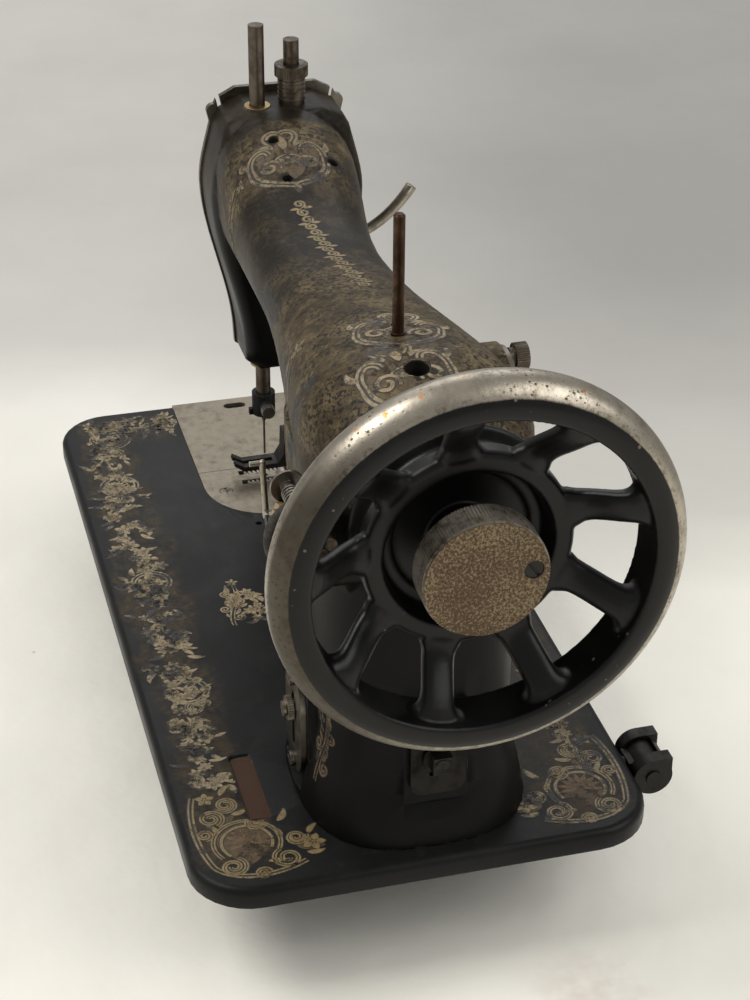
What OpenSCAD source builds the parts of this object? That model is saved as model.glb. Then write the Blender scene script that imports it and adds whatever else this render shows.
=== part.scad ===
// Full-size cast-iron domestic sewing machine head, oscillating-hook kind.
// Millimetres. X runs to the handwheel end, -Y to the operator, +Z up.
// The origin is on the surface the head rests on, under the middle of the head's box.
// Inside the modules X and Y count from the middle of the bed.

/* [Bed] */
// length of the bed plate along X
bed_l = 370; // [350:1:390]
// width of the bed plate along Y
bed_w = 178; // [170:1:190]
// height of the bed's top face above the rest surface
bed_top_z = 52; // [50:0.5:60]
// depth of the bed's outer rim
bed_rim_h = 9.5; // [8:0.5:14]
// thickness of the bed plate inside the rim
bed_plate_t = 5.5; // [5:0.1:7]
// width of the rim wall under the plate
bed_rim_w = 7; // [5:0.5:12]
// plan radius of the bed corners
bed_corner_r = 24; // [18:1:32]
// rounding of the bed's top edge
bed_edge_r = 3.2; // [2:0.2:5]
// thickness along X of the feet and bearing lugs under the bed
lug_t = 10; // [8:0.5:14]
// width along Y of the feet and bearing lugs
lug_w = 18; // [15:0.5:20]
// distance of the bearing lugs from the bed's middle along X
lug_x = 136; // [134:1:140]
// distance of the four feet from the bed's middle along X
foot_x = 100; // [97:1:103]
// distance of the four feet from the bed's middle along Y
foot_y = 60; // [59:0.5:62]

/* [Plates] */
// thickness of the slide plate and needle plate
plate_t = 2.4; // [2:0.1:3]
// width of the slide plate along Y
slide_w = 61; // [56:1:66]
// inner end of the slide plate, where it meets the needle plate
slide_x1 = -115; // [-117:1:-113]
// gap round the plates in their recess
plate_gap = 0.3; // [0.2:0.1:0.5]
// ledge that carries the plates
plate_ledge = 4; // [3:0.5:6]
// travel of the slide plate when it is opened
slide_travel = 45; // [30:1:55]
// length of the needle plate's straight part before its round end
needle_plate_l = 14; // [10:1:18]
// finger hole of the slide plate along Y
finger_l = 11; // [8:1:14]
// finger hole of the slide plate along X
finger_w = 5; // [4:0.5:7]

/* [Main axes] */
// X of the needle bar and presser bar
bar_x = -106; // [-108:0.5:-104]
// height of the arm shaft above the bed
shaft_h = 151; // [148:0.5:156]
// radius of the arm shaft
shaft_r = 6; // [5:0.25:7]
// radial running clearance of a journal
run_gap = 0.05; // [0.02:0.01:0.09]
// gap kept between pieces that do not touch
free_gap = 0.3; // [0.3:0.05:0.5]

/* [Arm] */
// wall of the hollow arm
arm_wall = 6; // [5:0.5:8]
// X where the arm leaves the head
head_x = -101; // [-104:1:-96]
// X of the slimmest place of the arm
waist_x = -5; // [-15:1:10]
// X where the arm is fullest over the pillar
shoulder_x = 172; // [165:1:178]
// X of the arm's handwheel end
arm_end_x = 178; // [174:1:180]
// top of the arm at the head, above the bed
head_top = 185.5; // [182:0.5:188]
// top of the arm at its waist
waist_top = 167; // [164:0.5:172]
// top of the arm over the pillar
shoulder_top = 188; // [184:0.5:192]
// underside of the arm at the head
head_low = 114; // [110:0.5:118]
// underside of the arm at its waist
waist_low = 129; // [125:0.5:132]
// underside of the arm over the pillar
shoulder_low = 112; // [106:0.5:118]
// front face of the arm at the head
head_front = -21; // [-24:0.5:-19]
// front face of the arm at its waist
waist_front = -23; // [-26:0.5:-20]
// front face of the arm over the pillar
shoulder_front = -41; // [-44:0.5:-39]
// rear face of the arm at the head
head_rear = 40; // [37:0.5:43]
// rear face of the arm at its waist
waist_rear = 29; // [26:0.5:32]
// rear face of the arm over the pillar
shoulder_rear = 46; // [43:0.5:49]
// narrowing of the arm towards its handwheel end
end_taper = 9; // [6:0.5:12]
// X where that narrowing starts
end_taper_x = 138; // [132:1:146]
// squareness of the arm's section, 2 is an ellipse
arm_power = 2.5; // [2.1:0.1:3]

/* [Pillar] */
// left side of the pillar at the bed
pillar_x0 = 78; // [72:1:84]
// right side of the pillar at the bed
pillar_x1 = 177; // [172:1:180]
// left side of the pillar's shank
shank_x0 = 94; // [90:1:98]
// right side of the pillar's shank
shank_x1 = 168; // [164:1:172]
// half width of the pillar's foot
foot_half = 44; // [40:1:48]
// half width of the pillar's shank
shank_half = 37; // [34:1:40]
// Y of the pillar's middle
pillar_y = 3; // [1:0.5:5]
// height of the flared foot
foot_h = 34; // [26:1:44]

/* [Head] */
// Y of the head's middle
head_mid = 11.5; // [10:0.5:13]
// underside of the head above the bed
head_low_z = 60; // [57:0.5:64]
// flat top of the head above the bed
head_flat_z = 186; // [184:0.5:188]
// half width of the head at its foot
head_low_half = 21.5; // [20:0.5:24]
// half width of the head at its fullest
head_wide_half = 35; // [33:0.5:37]
// half width of the head at its top
head_top_half = 28; // [26:0.5:30]
// height of the head's fullest place
head_wide_z = 147; // [142:1:152]
// X of the head's open face, where the face plate lies
face_x = -122; // [-124:0.5:-120]
// X of the head's right side below the arm
head_back_x = -93; // [-95:0.5:-90]
// wall of the head
head_wall = 4.2; // [4:0.1:5]
// floor and roof of the head, where the bushings sit
head_floor = 12; // [10:0.5:14]
// thickness of the face plate
face_t = 2.6; // [2:0.2:3.4]

/* [Needle bar] */
// radius of the needle bar and of the presser bar
bar_r = 3.4; // [3:0.1:3.8]
// top of the needle bar above the bed with the needle up
needle_bar_top = 221.5; // [218:0.5:225]
// lower end of the needle bar above the bed with the needle up
needle_bar_low = 34; // [32:0.5:38]
// throw of the needle-bar crank, half the needle's stroke
crank_throw = 12; // [10:0.5:13]
// length of the needle-bar link between its eyes
link_l = 28; // [24:0.5:30]
// radius of the crank pin
crank_pin_r = 2.4; // [2:0.1:3]
// outer radius of the needle-bar link's eyes
link_eye_r = 3.6; // [3.4:0.1:3.8]
// thickness of the needle-bar link
link_t = 3; // [2.4:0.1:3.2]
// radius of the crank disc on the arm shaft
crank_disc_r = 15.6; // [15:0.1:17]
// length of the needle under the clamp bore
needle_l = 32; // [28:0.5:36]
// radius of the needle's shank
needle_shank_r = 1; // [0.9:0.05:1.1]
// radius of the needle's blade
needle_blade_r = 0.5; // [0.4:0.05:0.6]
// depth of the needle's shank in the bar
needle_socket = 10; // [8:0.5:12]

/* [Presser bar] */
// distance from the needle bar to the presser bar along Y
bar_pitch = 15.3; // [15:0.1:16]
// top of the presser bar above the bed with the foot up
presser_top = 214; // [210:0.5:217]
// lift of the presser foot
foot_lift = 5.6; // [4:0.1:6]
// gap between the lowered foot and the needle plate
foot_gap = 0.4; // [0.3:0.05:0.6]
// swing of the presser lifter between up and down, in degrees
lifter_swing = 65; // [50:1:75]
// radius of the knurled head of the pressure screw
pressure_knurl_r = 7.3; // [7:0.1:8.4]
// radius of the pressure screw's threaded shank
pressure_screw_r = 5.6; // [5.2:0.1:6]

/* [Handwheel] */
// outer radius of the handwheel
wheel_r = 70; // [66:0.5:74]
// X of the middle of the rim
rim_x = 221.7; // [218:0.5:225]
// radius of the rim's round section
rim_round = 9.6; // [8.5:0.1:10.5]
// inner radius of the rim
rim_inner_r = 57; // [55:0.5:58]
// number of spokes
spokes = 9; // [7:1:11]
// width of a spoke
spoke_w = 11.5; // [10:0.5:13]
// thickness of a spoke
spoke_t = 8; // [6:0.5:9]
// radius of the hub ring where the spokes start
hub_r = 36; // [34:0.5:38]
// turn of the first spoke from the rear, in degrees
spoke_turn = 16; // [0:1:39]
// depth of the belt groove
belt_groove = 5; // [3:0.5:6]
// radius of the stop-motion knob
knob_r = 21.4; // [19:0.2:23]
// X of the knob's outer face
knob_x1 = 230.2; // [226:0.2:233]
// thickness of the stop-motion knob
knob_t = 12; // [10:0.5:14]

/* [Bobbin winder] */
// Y of the winder spindle
winder_y = -46; // [-47:0.25:-45]
// height of the winder spindle above the bed
winder_h = 146; // [144:0.5:148]
// radius of the winder's rubber tyre
tyre_r = 16; // [14:0.2:17]
// radius of the winder spindle
spindle_r = 2.6; // [2.2:0.1:3]

/* [Under the bed] */
// depth of the hook shaft below the bed's top
hook_depth = 25; // [24:0.5:27]
// outer radius of the shuttle race
race_r = 20; // [19:0.25:21]
// outer radius of the oscillating hook
hook_r = 16; // [15:0.25:16.4]
// radius of the hook shaft
hook_shaft_r = 5; // [4.5:0.25:5.5]
// Y of the feed rock shaft
feed_y = 44; // [42:0.5:47]
// Y of the lift rock shaft
lift_y = -40; // [-44:0.5:-38]
// depth of both rock shafts below the bed's top
rock_depth = 28; // [27:0.5:30]
// radius of the rock shafts
rock_r = 4.5; // [4:0.25:5]

/* [Pieces shown] */
// spool pin length above its seat
spool_l = 44; // [40:1:50]
// spool pin radius
spool_r = 2.1; // [1.8:0.1:2.6]
// radius of the rear inspection cover
cover_r = 17.5; // [15:0.5:20]
// radius of the bed hinge barrel
hinge_r = 8; // [7:0.5:9]
// length of the bed hinge barrel
hinge_l = 22; // [20:1:26]

/* [Hidden] */
$fn = 48;
eps = 0.01;
shaft_z = bed_top_z + shaft_h;
hook_z = bed_top_z - hook_depth;
rock_z = bed_top_z - rock_depth;
plate_z = bed_top_z - plate_t;
presser_y = bar_pitch;
bushing_wall = 2.2;
bush_r = bar_r + run_gap + bushing_wall;
// shaft bushings of the arm
front_bush_x0 = -86;
front_bush_l = 16;
rear_bush_l = 18;
rear_bush_x0 = arm_end_x - rear_bush_l;
bush_o = shaft_r + run_gap + 3;
cavity_x0 = front_bush_x0 + front_bush_l;
cavity_x1 = rear_bush_x0;
// under-bed layout
hook_bear_x = [-66, 78];
race_x0 = -128;
race_x1 = -112.6;
rock_pin_y = 16;
rod_x = 124;
rod_t = 6;
fork_x = 108;
rod_throw = 6;
fork_throw = 3;
rod_disc_r = 13.5;
fork_disc_r = 10.5;
shell_foot_h = 5;

// smooth step from 0 at a to 1 at b
function sstep(a, b, x) = let (t = min(1, max(0, (x - a) / (b - a)))) t * t * (3 - 2 * t);
function mix(a, b, t) = a + (b - a) * t;
function along(h, w, s, x) =
    x < waist_x ? mix(h, w, sstep(head_x, waist_x, x)) : mix(w, s, sstep(waist_x, shoulder_x, x));
function power(v, e) = sign(v) * pow(abs(v), e);
// drop of a rounded end of radius r at distance d inside it
function drop(r, d) = d >= r ? 0 : r - sqrt(max(0, r * r - (r - max(0, d)) * (r - max(0, d))));
function flat(l) = [for (a = l) for (b = a) b];

// a closed skin through equal rings, counter-clockwise seen from the last ring
module loft(rings) {
    n = len(rings[0]);
    m = len(rings);
    sides = [for (i = [0:m - 2]) for (j = [0:n - 1])
        let (k = (j + 1) % n, a = i * n + j, b = i * n + k, c = a + n, d = b + n)
        each [[a, c, d], [a, d, b]]];
    polyhedron(concat(flat(rings)), concat(sides,
        [[for (j = [0:n - 1]) j]], [[for (j = [n - 1:-1:0]) (m - 1) * n + j]]), 4);
}

// lay a Z shape along X
module along_x(x = 0, y = 0, z = 0) {
    translate([x, y, z]) rotate([0, 90, 0]) children();
}
// lay a Z shape along Y, towards -Y
module along_y(x = 0, y = 0, z = 0) {
    translate([x, y, z]) rotate([90, 0, 0]) children();
}
// draw an outline given as (y, z) and give it a thickness along X
module slab_x(x, t) {
    translate([x, 0, 0]) rotate([90, 0, 90]) linear_extrude(t) children();
}
// draw an outline given as (x, z) and give it a thickness towards -Y from y
module slab_y(y, t) {
    translate([0, y, 0]) rotate([90, 0, 0]) linear_extrude(t) children();
}
// flat bar with round ends between two points
module bar2(p, q, r) {
    d = q - p;
    l = norm(d);
    translate(p) rotate(atan2(d[1], d[0])) {
        translate([0, -r]) square([l, 2 * r]);
        circle(r);
        translate([l, 0]) circle(r);
    }
}
module ring(ro, ri, h) {
    difference() {
        cylinder(h, r = ro);
        translate([0, 0, -1]) cylinder(h + 2, r = ri);
    }
}
// rectangle with round corners, centred
module rrect(l, w, r) {
    square([l - 2 * r, w], center = true);
    square([l, w - 2 * r], center = true);
    for (x = [-1, 1], y = [-1, 1])
        translate([x * (l / 2 - r), y * (w / 2 - r)]) circle(r);
}
// coin edge with straight knurls
module knurled(r, h, n) {
    linear_extrude(h) polygon([for (i = [0:2 * n - 1])
        let (q = r - (i % 2) * 0.35) [q * cos(i * 180 / n), q * sin(i * 180 / n)]]);
}
// round head with a driver slot, top at z = 0, shank downwards
module slot_screw(head, head_h, shank, len) {
    difference() {
        union() {
            translate([0, 0, -head_h]) cylinder(head_h, r = head);
            translate([0, 0, -head_h - len]) cylinder(len + eps, r = shank);
        }
        translate([-head - 1, -head * 0.14, -head_h * 0.45]) cube([2 * head + 2, head * 0.28, head_h]);
    }
}

// ---------------------------------------------------------------- bed
function bed_ring(z, inset) = let (r = bed_corner_r - inset)
    [for (q = [0:3]) for (i = [0:8])
        let (a = q * 90 + i * 90 / 8,
            sx = (q == 0 || q == 3) ? 1 : -1,
            sy = q < 2 ? 1 : -1)
        [sx * (bed_l / 2 - bed_corner_r) + r * cos(a), sy * (bed_w / 2 - bed_corner_r) + r * sin(a), z]];

module bed_skin() {
    rim_z = bed_top_z - bed_rim_h;
    loft(concat([bed_ring(rim_z, 1.2), bed_ring(rim_z + 1.2, 0)],
        [for (i = [0:5]) let (a = i * 18)
            bed_ring(bed_top_z - bed_edge_r + bed_edge_r * sin(a), bed_edge_r * (1 - cos(a)))]));
}
// recess of the plates, grown by g
module plate_outline(g) {
    translate([-bed_l / 2 - 5, -slide_w / 2 - g])
        square([slide_x1 + needle_plate_l + bed_l / 2 + 5, slide_w + 2 * g]);
    translate([slide_x1 + needle_plate_l, 0]) circle(slide_w / 2 + g);
}
module pillar_foot_outline(g) {
    translate([(pillar_x0 + pillar_x1) / 2, pillar_y])
        rrect(pillar_x1 - pillar_x0 + 2 * g, 2 * (foot_half + g), foot_half - 6 + g);
}
module hanging_lug(x, y, w, t, low) {
    translate([x - t / 2, y - w / 2, low]) cube([t, w, bed_top_z - bed_plate_t - low + 1]);
}
module bed_casting() color([0.05, 0.05, 0.05]) {
    difference() {
        union() {
            difference() {
                bed_skin();
                translate([0, 0, bed_top_z - bed_plate_t - 50]) linear_extrude(50)
                    rrect(bed_l - 2 * bed_rim_w, bed_w - 2 * bed_rim_w, bed_corner_r - bed_rim_w);
            }
            for (s = [-1, 1]) {
                for (y = [feed_y, lift_y]) hanging_lug(s * lug_x, y, lug_w, lug_t, rock_z - 7.5);
                for (y = [-1, 1]) hanging_lug(s * foot_x, y * foot_y, lug_w, lug_t, 0);
            }
            for (x = hook_bear_x)
                hanging_lug(x, 0, 22, 9, hook_z - 10);
            for (s = [-1, 1])
                translate([s * hinge_x, bed_w / 2 - 22, bed_top_z - bed_rim_h])
                    cylinder(bed_rim_h - 1, r = 10);
        }
        // recess and opening for the plates
        translate([0, 0, plate_z]) linear_extrude(plate_t + 1) plate_outline(plate_gap);
        translate([0, 0, bed_top_z - bed_rim_h - 1]) linear_extrude(bed_rim_h + 1)
            intersection() {
                plate_outline(-plate_ledge);
                translate([-bed_l / 2 + bed_rim_w + 5, -bed_w / 2]) square([bed_l, bed_w]);
            }
        // way down from the pillar for the connecting rods
        translate([fork_x - 6.5, pillar_y - 26, bed_top_z - bed_plate_t - 1])
            cube([rod_x - fork_x + 17, 58, bed_plate_t + 2]);
        // bores for the shafts and the centre screws
        for (y = [feed_y, lift_y])
            along_x(-lug_x - lug_t, y, rock_z) cylinder(2 * (lug_x + lug_t), r = centre_r + run_gap);
        for (x = hook_bear_x)
            along_x(x - 10, 0, hook_z) cylinder(20, r = hook_shaft_r + run_gap);
        // hinge pin holes in the rear edge
        for (s = [-1, 1])
            along_y(s * hinge_x, bed_w / 2 + 1, hinge_z) cylinder(31, r = hinge_pin_r + run_gap);
        // small oil holes
        for (p = [[-63.4, -12.4], [-50.2, -12.1], [67.9, -28.3]])
            translate([p[0], p[1], bed_top_z - bed_plate_t - 1]) cylinder(bed_plate_t + 2, r = oil_r);
        // bare recess where a number pad would be
        translate([pad_x, pad_y, bed_top_z - pad_t - 0.2]) linear_extrude(pad_t + 1) rrect(pad_l, pad_w, 2);
        // screw holes of the needle plate and the arm
        for (p = needle_screws)
            translate([p[0], p[1], bed_top_z - bed_plate_t - 1]) cylinder(bed_plate_t + 2, r = plate_screw_r);
        for (p = arm_bolts)
            translate([p[0], p[1], bed_top_z - bed_plate_t - 1]) cylinder(bed_plate_t + 2, r = arm_bolt_r + run_gap);
        // holes for the race screws
        for (s = [-1, 1])
            translate([race_lug_x, s * race_lug_y, bed_top_z - bed_plate_t - 1])
                cylinder(bed_plate_t - plate_t, r = race_screw_r);
    }
}
centre_r = 3;
hinge_x = 142;
hinge_pin_r = 3.2;
hinge_z = bed_top_z - bed_rim_h / 2;
oil_r = 1.5;
pad_x = 125;
pad_y = -57.5;
pad_l = 41;
pad_w = 9;
pad_t = 1;
needle_screws = [[-95.5, -21], [-95.5, 21]];
plate_screw_r = 1.6;
arm_bolt_r = 4;
arm_bolts = [[93, 3], [163, 3]];
race_lug_x = -118;
race_lug_y = 34;
race_screw_r = 2;

module arm_bolt_set() color([0.25, 0.24, 0.22]) for (p = arm_bolts)
    translate([p[0], p[1], bed_top_z - bed_plate_t]) mirror([0, 0, 1]) {
        translate([0, 0, 0]) cylinder(4.5, r = 6.5, $fn = 6);
        translate([0, 0, -bed_plate_t - 14]) cylinder(bed_plate_t + 14 + eps, r = arm_bolt_r);
    }

// ---------------------------------------------------------------- plates
module slide_plate() color([0.5, 0.46, 0.38]) translate([0, 0, plate_z]) difference() {
    translate([-bed_l / 2, -slide_w / 2, 0]) cube([slide_x1 - plate_gap / 2 + bed_l / 2, slide_w, plate_t]);
    translate([-bed_l / 2 + 7.5, -finger_l / 2 + finger_w / 2, -3]) {
        cylinder(plate_t + 6, r = finger_w / 2);
        translate([0, finger_l - finger_w, 0]) cylinder(plate_t + 6, r = finger_w / 2);
        translate([-finger_w / 2, 0, 0]) cube([finger_w, finger_l - finger_w, plate_t + 6]);
    }
}
feed_slot_y = [-12, 15];
feed_rows = [-110.4, -101.6];
feed_row_w = 2.6;
module needle_plate() color([0.5, 0.46, 0.38]) translate([0, 0, plate_z]) difference() {
    linear_extrude(plate_t) intersection() {
        plate_outline(0);
        translate([slide_x1 + plate_gap / 2, -bed_w / 2]) square([100, bed_w]);
    }
    for (x = feed_rows)
        translate([x - feed_row_w / 2 - 0.5, feed_slot_y[0], -1])
            cube([feed_row_w + 1, feed_slot_y[1] - feed_slot_y[0], plate_t + 2]);
    translate([bar_x, 0, -1]) cylinder(plate_t + 2, r = 1.3);
    for (p = needle_screws) translate([p[0], p[1], -1]) {
        cylinder(plate_t + 2, r = plate_screw_r + run_gap);
        translate([0, 0, plate_t - 0.3]) cylinder(3, r = 3.2);
    }
    translate([-88.6, 1.4, -1]) cylinder(plate_t + 2, r = 1.4);
}
module needle_plate_screws() color([0.45, 0.42, 0.36])
    for (p = needle_screws) translate([p[0], p[1], bed_top_z - 0.1]) slot_screw(3, 1, plate_screw_r, 3.6);

// ---------------------------------------------------------------- arm
function arm_ring(x, inset, n) = let (
        e = drop(7, arm_end_x - x) + end_taper * sstep(end_taper_x, arm_end_x - 6, x) + inset,
        y0 = along(head_front, waist_front, shoulder_front, x) + e,
        y1 = along(head_rear, waist_rear, shoulder_rear, x) - e,
        z0 = along(head_low, waist_low, shoulder_low, x) + e,
        z1 = along(head_top, waist_top, shoulder_top, x) - e)
    [for (i = [0:n - 1]) let (a = 360 * i / n)
        [x, (y0 + y1) / 2 + (y1 - y0) / 2 * power(cos(a), 2 / arm_power),
            bed_top_z + (z0 + z1) / 2 + (z1 - z0) / 2 * power(sin(a), 2 / arm_power)]];
module arm_loft(x0, x1, steps, inset, n) {
    loft([for (i = [0:steps]) arm_ring(mix(x0, x1, i / steps), inset, n)]);
}

// half width of the head at a height above the bed
function head_half(h) = h < head_wide_z
    ? mix(head_low_half, head_wide_half, sstep(head_low_z + 8, head_wide_z, h))
    : mix(head_wide_half, head_top_half, sstep(head_wide_z, head_flat_z, h));
// closed outline of the head as (y, height), inset all round, corners rounded
function head_side(inset, lo, hi, r0, r1, n) = [for (i = [0:n])
    let (h = mix(lo + inset, hi - inset, i / n),
        w = head_half(h) - inset - drop(r0, h - lo - inset) - drop(r1, hi - inset - h)) [w, h]];
function head_outline(inset, lo, hi, r0, r1, n) = let (s = head_side(inset, lo, hi, r0, r1, n))
    concat([for (p = s) [head_mid + p[0], p[1]]], [for (i = [n:-1:0]) [head_mid - s[i][0], s[i][1]]]);
function head_ring(x, inset, n) = [for (p = head_outline(inset, head_low_z, head_flat_z, 6, 11, n))
    [x, p[0], bed_top_z + p[1]]];
module head_block() {
    back = head_back_x - face_x;
    loft([for (i = [0:6]) let (
            d = [0, back * 0.5, back - 8, back - 5, back - 2.5, back - 0.8, back][i])
        head_ring(face_x + d, 0.8 + drop(8, back - d) * 0.8, 26)]);
}
function pillar_ring(h, inset, n) = let (
        f = 1 - sstep(-2, foot_h, h),
        u = sstep(shoulder_low - 34, shoulder_low + 22, h),
        x0 = mix(shank_x0, pillar_x0, f) - 26 * u + inset,
        x1 = mix(shank_x1, pillar_x1, f) + 4 * u - inset,
        w = mix(shank_half, foot_half, f) + 3 * u - inset)
    [for (i = [0:n - 1]) let (a = 360 * i / n)
        [(x0 + x1) / 2 + (x1 - x0) / 2 * power(cos(a), 2 / 2.7),
            pillar_y + w * power(sin(a), 2 / 2.7), bed_top_z + h]];
module pillar_loft(h0, h1, steps, inset, n) {
    loft([for (i = [0:steps]) pillar_ring(mix(h0, h1, i / steps), inset, n)]);
}
module arc_slot(r, a0, a1, w) {
    polygon(concat(arc([0, 0], r + w / 2, a0, a1, 16), arc(polar(r, a1), w / 2, a1 + 20, a1 + 160, 7),
        arc([0, 0], r - w / 2, a1, a0, 16), arc(polar(r, a0), w / 2, a0 + 200, a0 + 340, 7)));
}
lifter_y = 27;
lifter_h = 117;
lifter_x0 = -108;
lifter_t = 5;
cover_x = 106;
cover_h = 148.3;
cover_y = 44;
cover_pin_x = cover_x;
cover_pin_h = cover_h + 14.2;
reg_x = 122;
reg_y = -37;
reg_h = 27;
end_plate_h = 39;
spool_x = 118;
spool_y = 1.3;
spool_h = 184.3;
oil_top = [[-74.7, 0, 2.2], [-59, 22, 2.2], [-48.4, 0, 2.2], [107, 4, 2.2], [147, 0, 4.4]];
winder_base_x = 158;
winder_pad_y = -41;
winder_base_h = winder_h - 28;

module arm_casting() color([0.06, 0.055, 0.05]) difference() {
    union() {
        arm_loft(head_x - 10, arm_end_x, 22, 0, 32);
        head_block();
        pillar_loft(0, shoulder_low + 34, 14, 0, 32);
        // boss behind the inspection cover
        along_y(cover_x, cover_y, bed_top_z + cover_h) cylinder(18, r = cover_r + 1.5);
        // pads for the regulator plate and for the slotted end plate
        translate([reg_x - 15, reg_y, bed_top_z + 3]) cube([30, 14, 48]);
        translate([shank_x1 - 4, pillar_y - 12, bed_top_z + end_plate_h - 21]) cube([7.5, 24, 42]);
        // boss of the winder
        along_y(winder_base_x, -20, bed_top_z + winder_base_h) cylinder(-20 - winder_pad_y, r = 8);
    }
    // hollow of the arm between the two bushing walls
    arm_loft(cavity_x0, cavity_x1, 12, arm_wall, 24);
    // hollow of the head, open to the face plate
    translate([0, 0, bed_top_z]) slab_x(face_x - 5, head_back_x - head_wall - face_x + 5)
        polygon(head_outline(head_wall, head_low_z + head_floor - head_wall,
            head_flat_z - head_floor + head_wall, 3, 3, 20));
    along_x(face_x, 0, shaft_z) cylinder(front_bush_x0 - 0.4 - face_x, r = crank_disc_r + 1.4);
    // hollow of the pillar, clear of the bosses for its bolts
    difference() {
        pillar_loft(-1, shoulder_low + 22, 9, arm_wall, 24);
        for (p = arm_bolts) translate([p[0], p[1], bed_top_z - 2]) cylinder(14, r = arm_bolt_r + 5);
    }
    // shaft bores
    along_x(face_x, 0, shaft_z) cylinder(arm_end_x - face_x + 5, r = bush_o);
    // bores of the bars
    translate([bar_x, 0, bed_top_z + head_low_z - 5]) cylinder(head_flat_z - head_low_z + 10, r = bush_r);
    translate([bar_x, presser_y, bed_top_z + head_low_z - 5]) cylinder(60, r = bush_r);
    translate([bar_x, presser_y, bed_top_z + head_low_z + 50])
        cylinder(head_flat_z - head_low_z, r = pressure_screw_r + run_gap);
    // slot in the rear wall for the presser lifter
    translate([lifter_x0 - 0.8, lifter_y + 6, bed_top_z + lifter_h - 24])
        cube([lifter_t + 1.6, 30, 35]);
    // pin of the presser lifter
    along_x(-112, lifter_y, bed_top_z + lifter_h) cylinder(lifter_pin_l, r = lifter_pin_r + run_gap);
    along_x(-104, take_y, bed_top_z + take_h) cylinder(16, r = take_pin_r + run_gap);
    // opening behind the inspection cover
    along_y(cover_x, cover_y + 1, bed_top_z + cover_h) cylinder(22, r = cover_r - 7.5);
    along_y(cover_pin_x, cover_y + 1, bed_top_z + cover_pin_h) cylinder(14, r = cover_pin_r + run_gap);
    // slot behind the regulator plate and its screws
    translate([reg_x - 2.5, reg_y - 1, bed_top_z + reg_h - 14]) cube([5, 22, 28]);
    for (s = [-1, 1]) along_y(reg_x, reg_y + 11, bed_top_z + reg_h + s * reg_screw_d)
        cylinder(13, r = reg_screw_r + run_gap);
    // bolt of the slotted end plate
    along_x(shank_x1 - 14, pillar_y, bed_top_z + end_plate_h) cylinder(25, r = end_bolt_r + run_gap);
    // flats for the regulator plate and for the end plate to slide on
    translate([reg_x - 14, reg_y - 20, bed_top_z + 3]) cube([28, 20, 48]);
    translate([shank_x1 + 3.5, pillar_y - 12.5, bed_top_z + end_plate_h - 22]) cube([20, 25, 45]);
    // spool pin seat, oil holes and winder screw
    translate([spool_x, spool_y, bed_top_z + 170]) cylinder(30, r = spool_r + 0.5);
    for (p = oil_top) translate([p[0], p[1], bed_top_z + 158]) cylinder(40, r = p[2]);
    along_y(winder_base_x, -20, bed_top_z + winder_base_h) cylinder(25, r = winder_pin_r + run_gap);
    // face plate screws
    for (p = face_screws) along_x(face_x - 1, p[0], bed_top_z + p[1]) cylinder(10, r = face_screw_r);
    // arm bolts from below
    for (p = arm_bolts) translate([p[0], p[1], bed_top_z - 1]) cylinder(17, r = arm_bolt_r + run_gap);
    // ground joint on the bed
    translate([0, -200, bed_top_z - 20]) cube([400, 400, 20]);
    translate([-400, -200, bed_top_z]) cube([400 + face_x, 400, 300]);
}
cover_pin_r = 2.2;
lifter_pin_r = 2;
lifter_pin_l = 18.5;
take_y = 28;
take_h = head_flat_z - 36;
take_r = 31.6;
take_up_angle = 147;
take_swing = 60;
take_pin_r = 2.5;
reg_screw_d = 19;
reg_screw_r = 1.6;
end_bolt_r = 3;
winder_pin_r = 3;
face_screws = [[head_mid + 16.5, 180], [head_mid, 66]];
face_screw_r = 1.8;

module spool_pin() color([0.25, 0.16, 0.12]) translate([spool_x, spool_y, bed_top_z + spool_h]) {
    translate([0, 0, -8]) cylinder(8, r = spool_r + 0.5);
    cylinder(spool_l, r = spool_r);
    translate([0, 0, spool_l - eps]) cylinder(0.8, r1 = spool_r, r2 = spool_r - 0.7);
}

// ---------------------------------------------------------------- face plate
ear_y = 26.5;
tension_y = 24;
tension_h = 112;
tension_r = 2.2;
module face_plate() color([0.45, 0.43, 0.38]) translate([0, 0, bed_top_z])
    slab_x(face_x - face_t, face_t) difference() {
        union() {
            polygon(head_outline(0, head_low_z, head_flat_z + 2.5, 6, 10, 30));
            for (s = [-1, 1]) bar2([head_mid + s * (ear_y - 1), 168], [head_mid + s * (ear_y + 1.4), 178.5], 3);
        }
        for (s = [-1, 1]) translate([head_mid + s * (ear_y - 2), 178.2]) {
            circle(1.9);
            rotate(s * -12) translate([-0.9, 0]) square([1.8, 9]);
        }
        translate([take_y, take_h]) arc_slot(take_r, take_up_angle - 3, take_up_angle + take_swing + 3, 4.8);
        translate([tension_y, tension_h]) circle(tension_r);
        for (p = face_screws) translate(p) circle(face_screw_r + run_gap);
    }
plate_guide_y = 2;
plate_guide_h = 82;
module face_plate_screws() color([0.4, 0.38, 0.34]) for (p = face_screws)
    translate([face_x - face_t - 2, p[0], bed_top_z + p[1]]) rotate([0, -90, 0])
        slot_screw(4, 2, face_screw_r, face_t + 7);
module face_thread_guide() color([0.5, 0.48, 0.42]) translate([face_x - face_t, plate_guide_y, bed_top_z + plate_guide_h]) {
    along_x(-1.2, 0, 0) cylinder(1.2 + 4, r = 1.2);
    along_x(-1.2, 0, 0) cylinder(1.2, r = 2.6);
    translate([-5.2, 0, 0]) rotate([0, 0, 0]) along_x(0, 0, 0) ring(3.4, 2.2, 1.6);
    along_x(-4, 0, 2.8) cylinder(4.5, r = 0.45);
}

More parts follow.
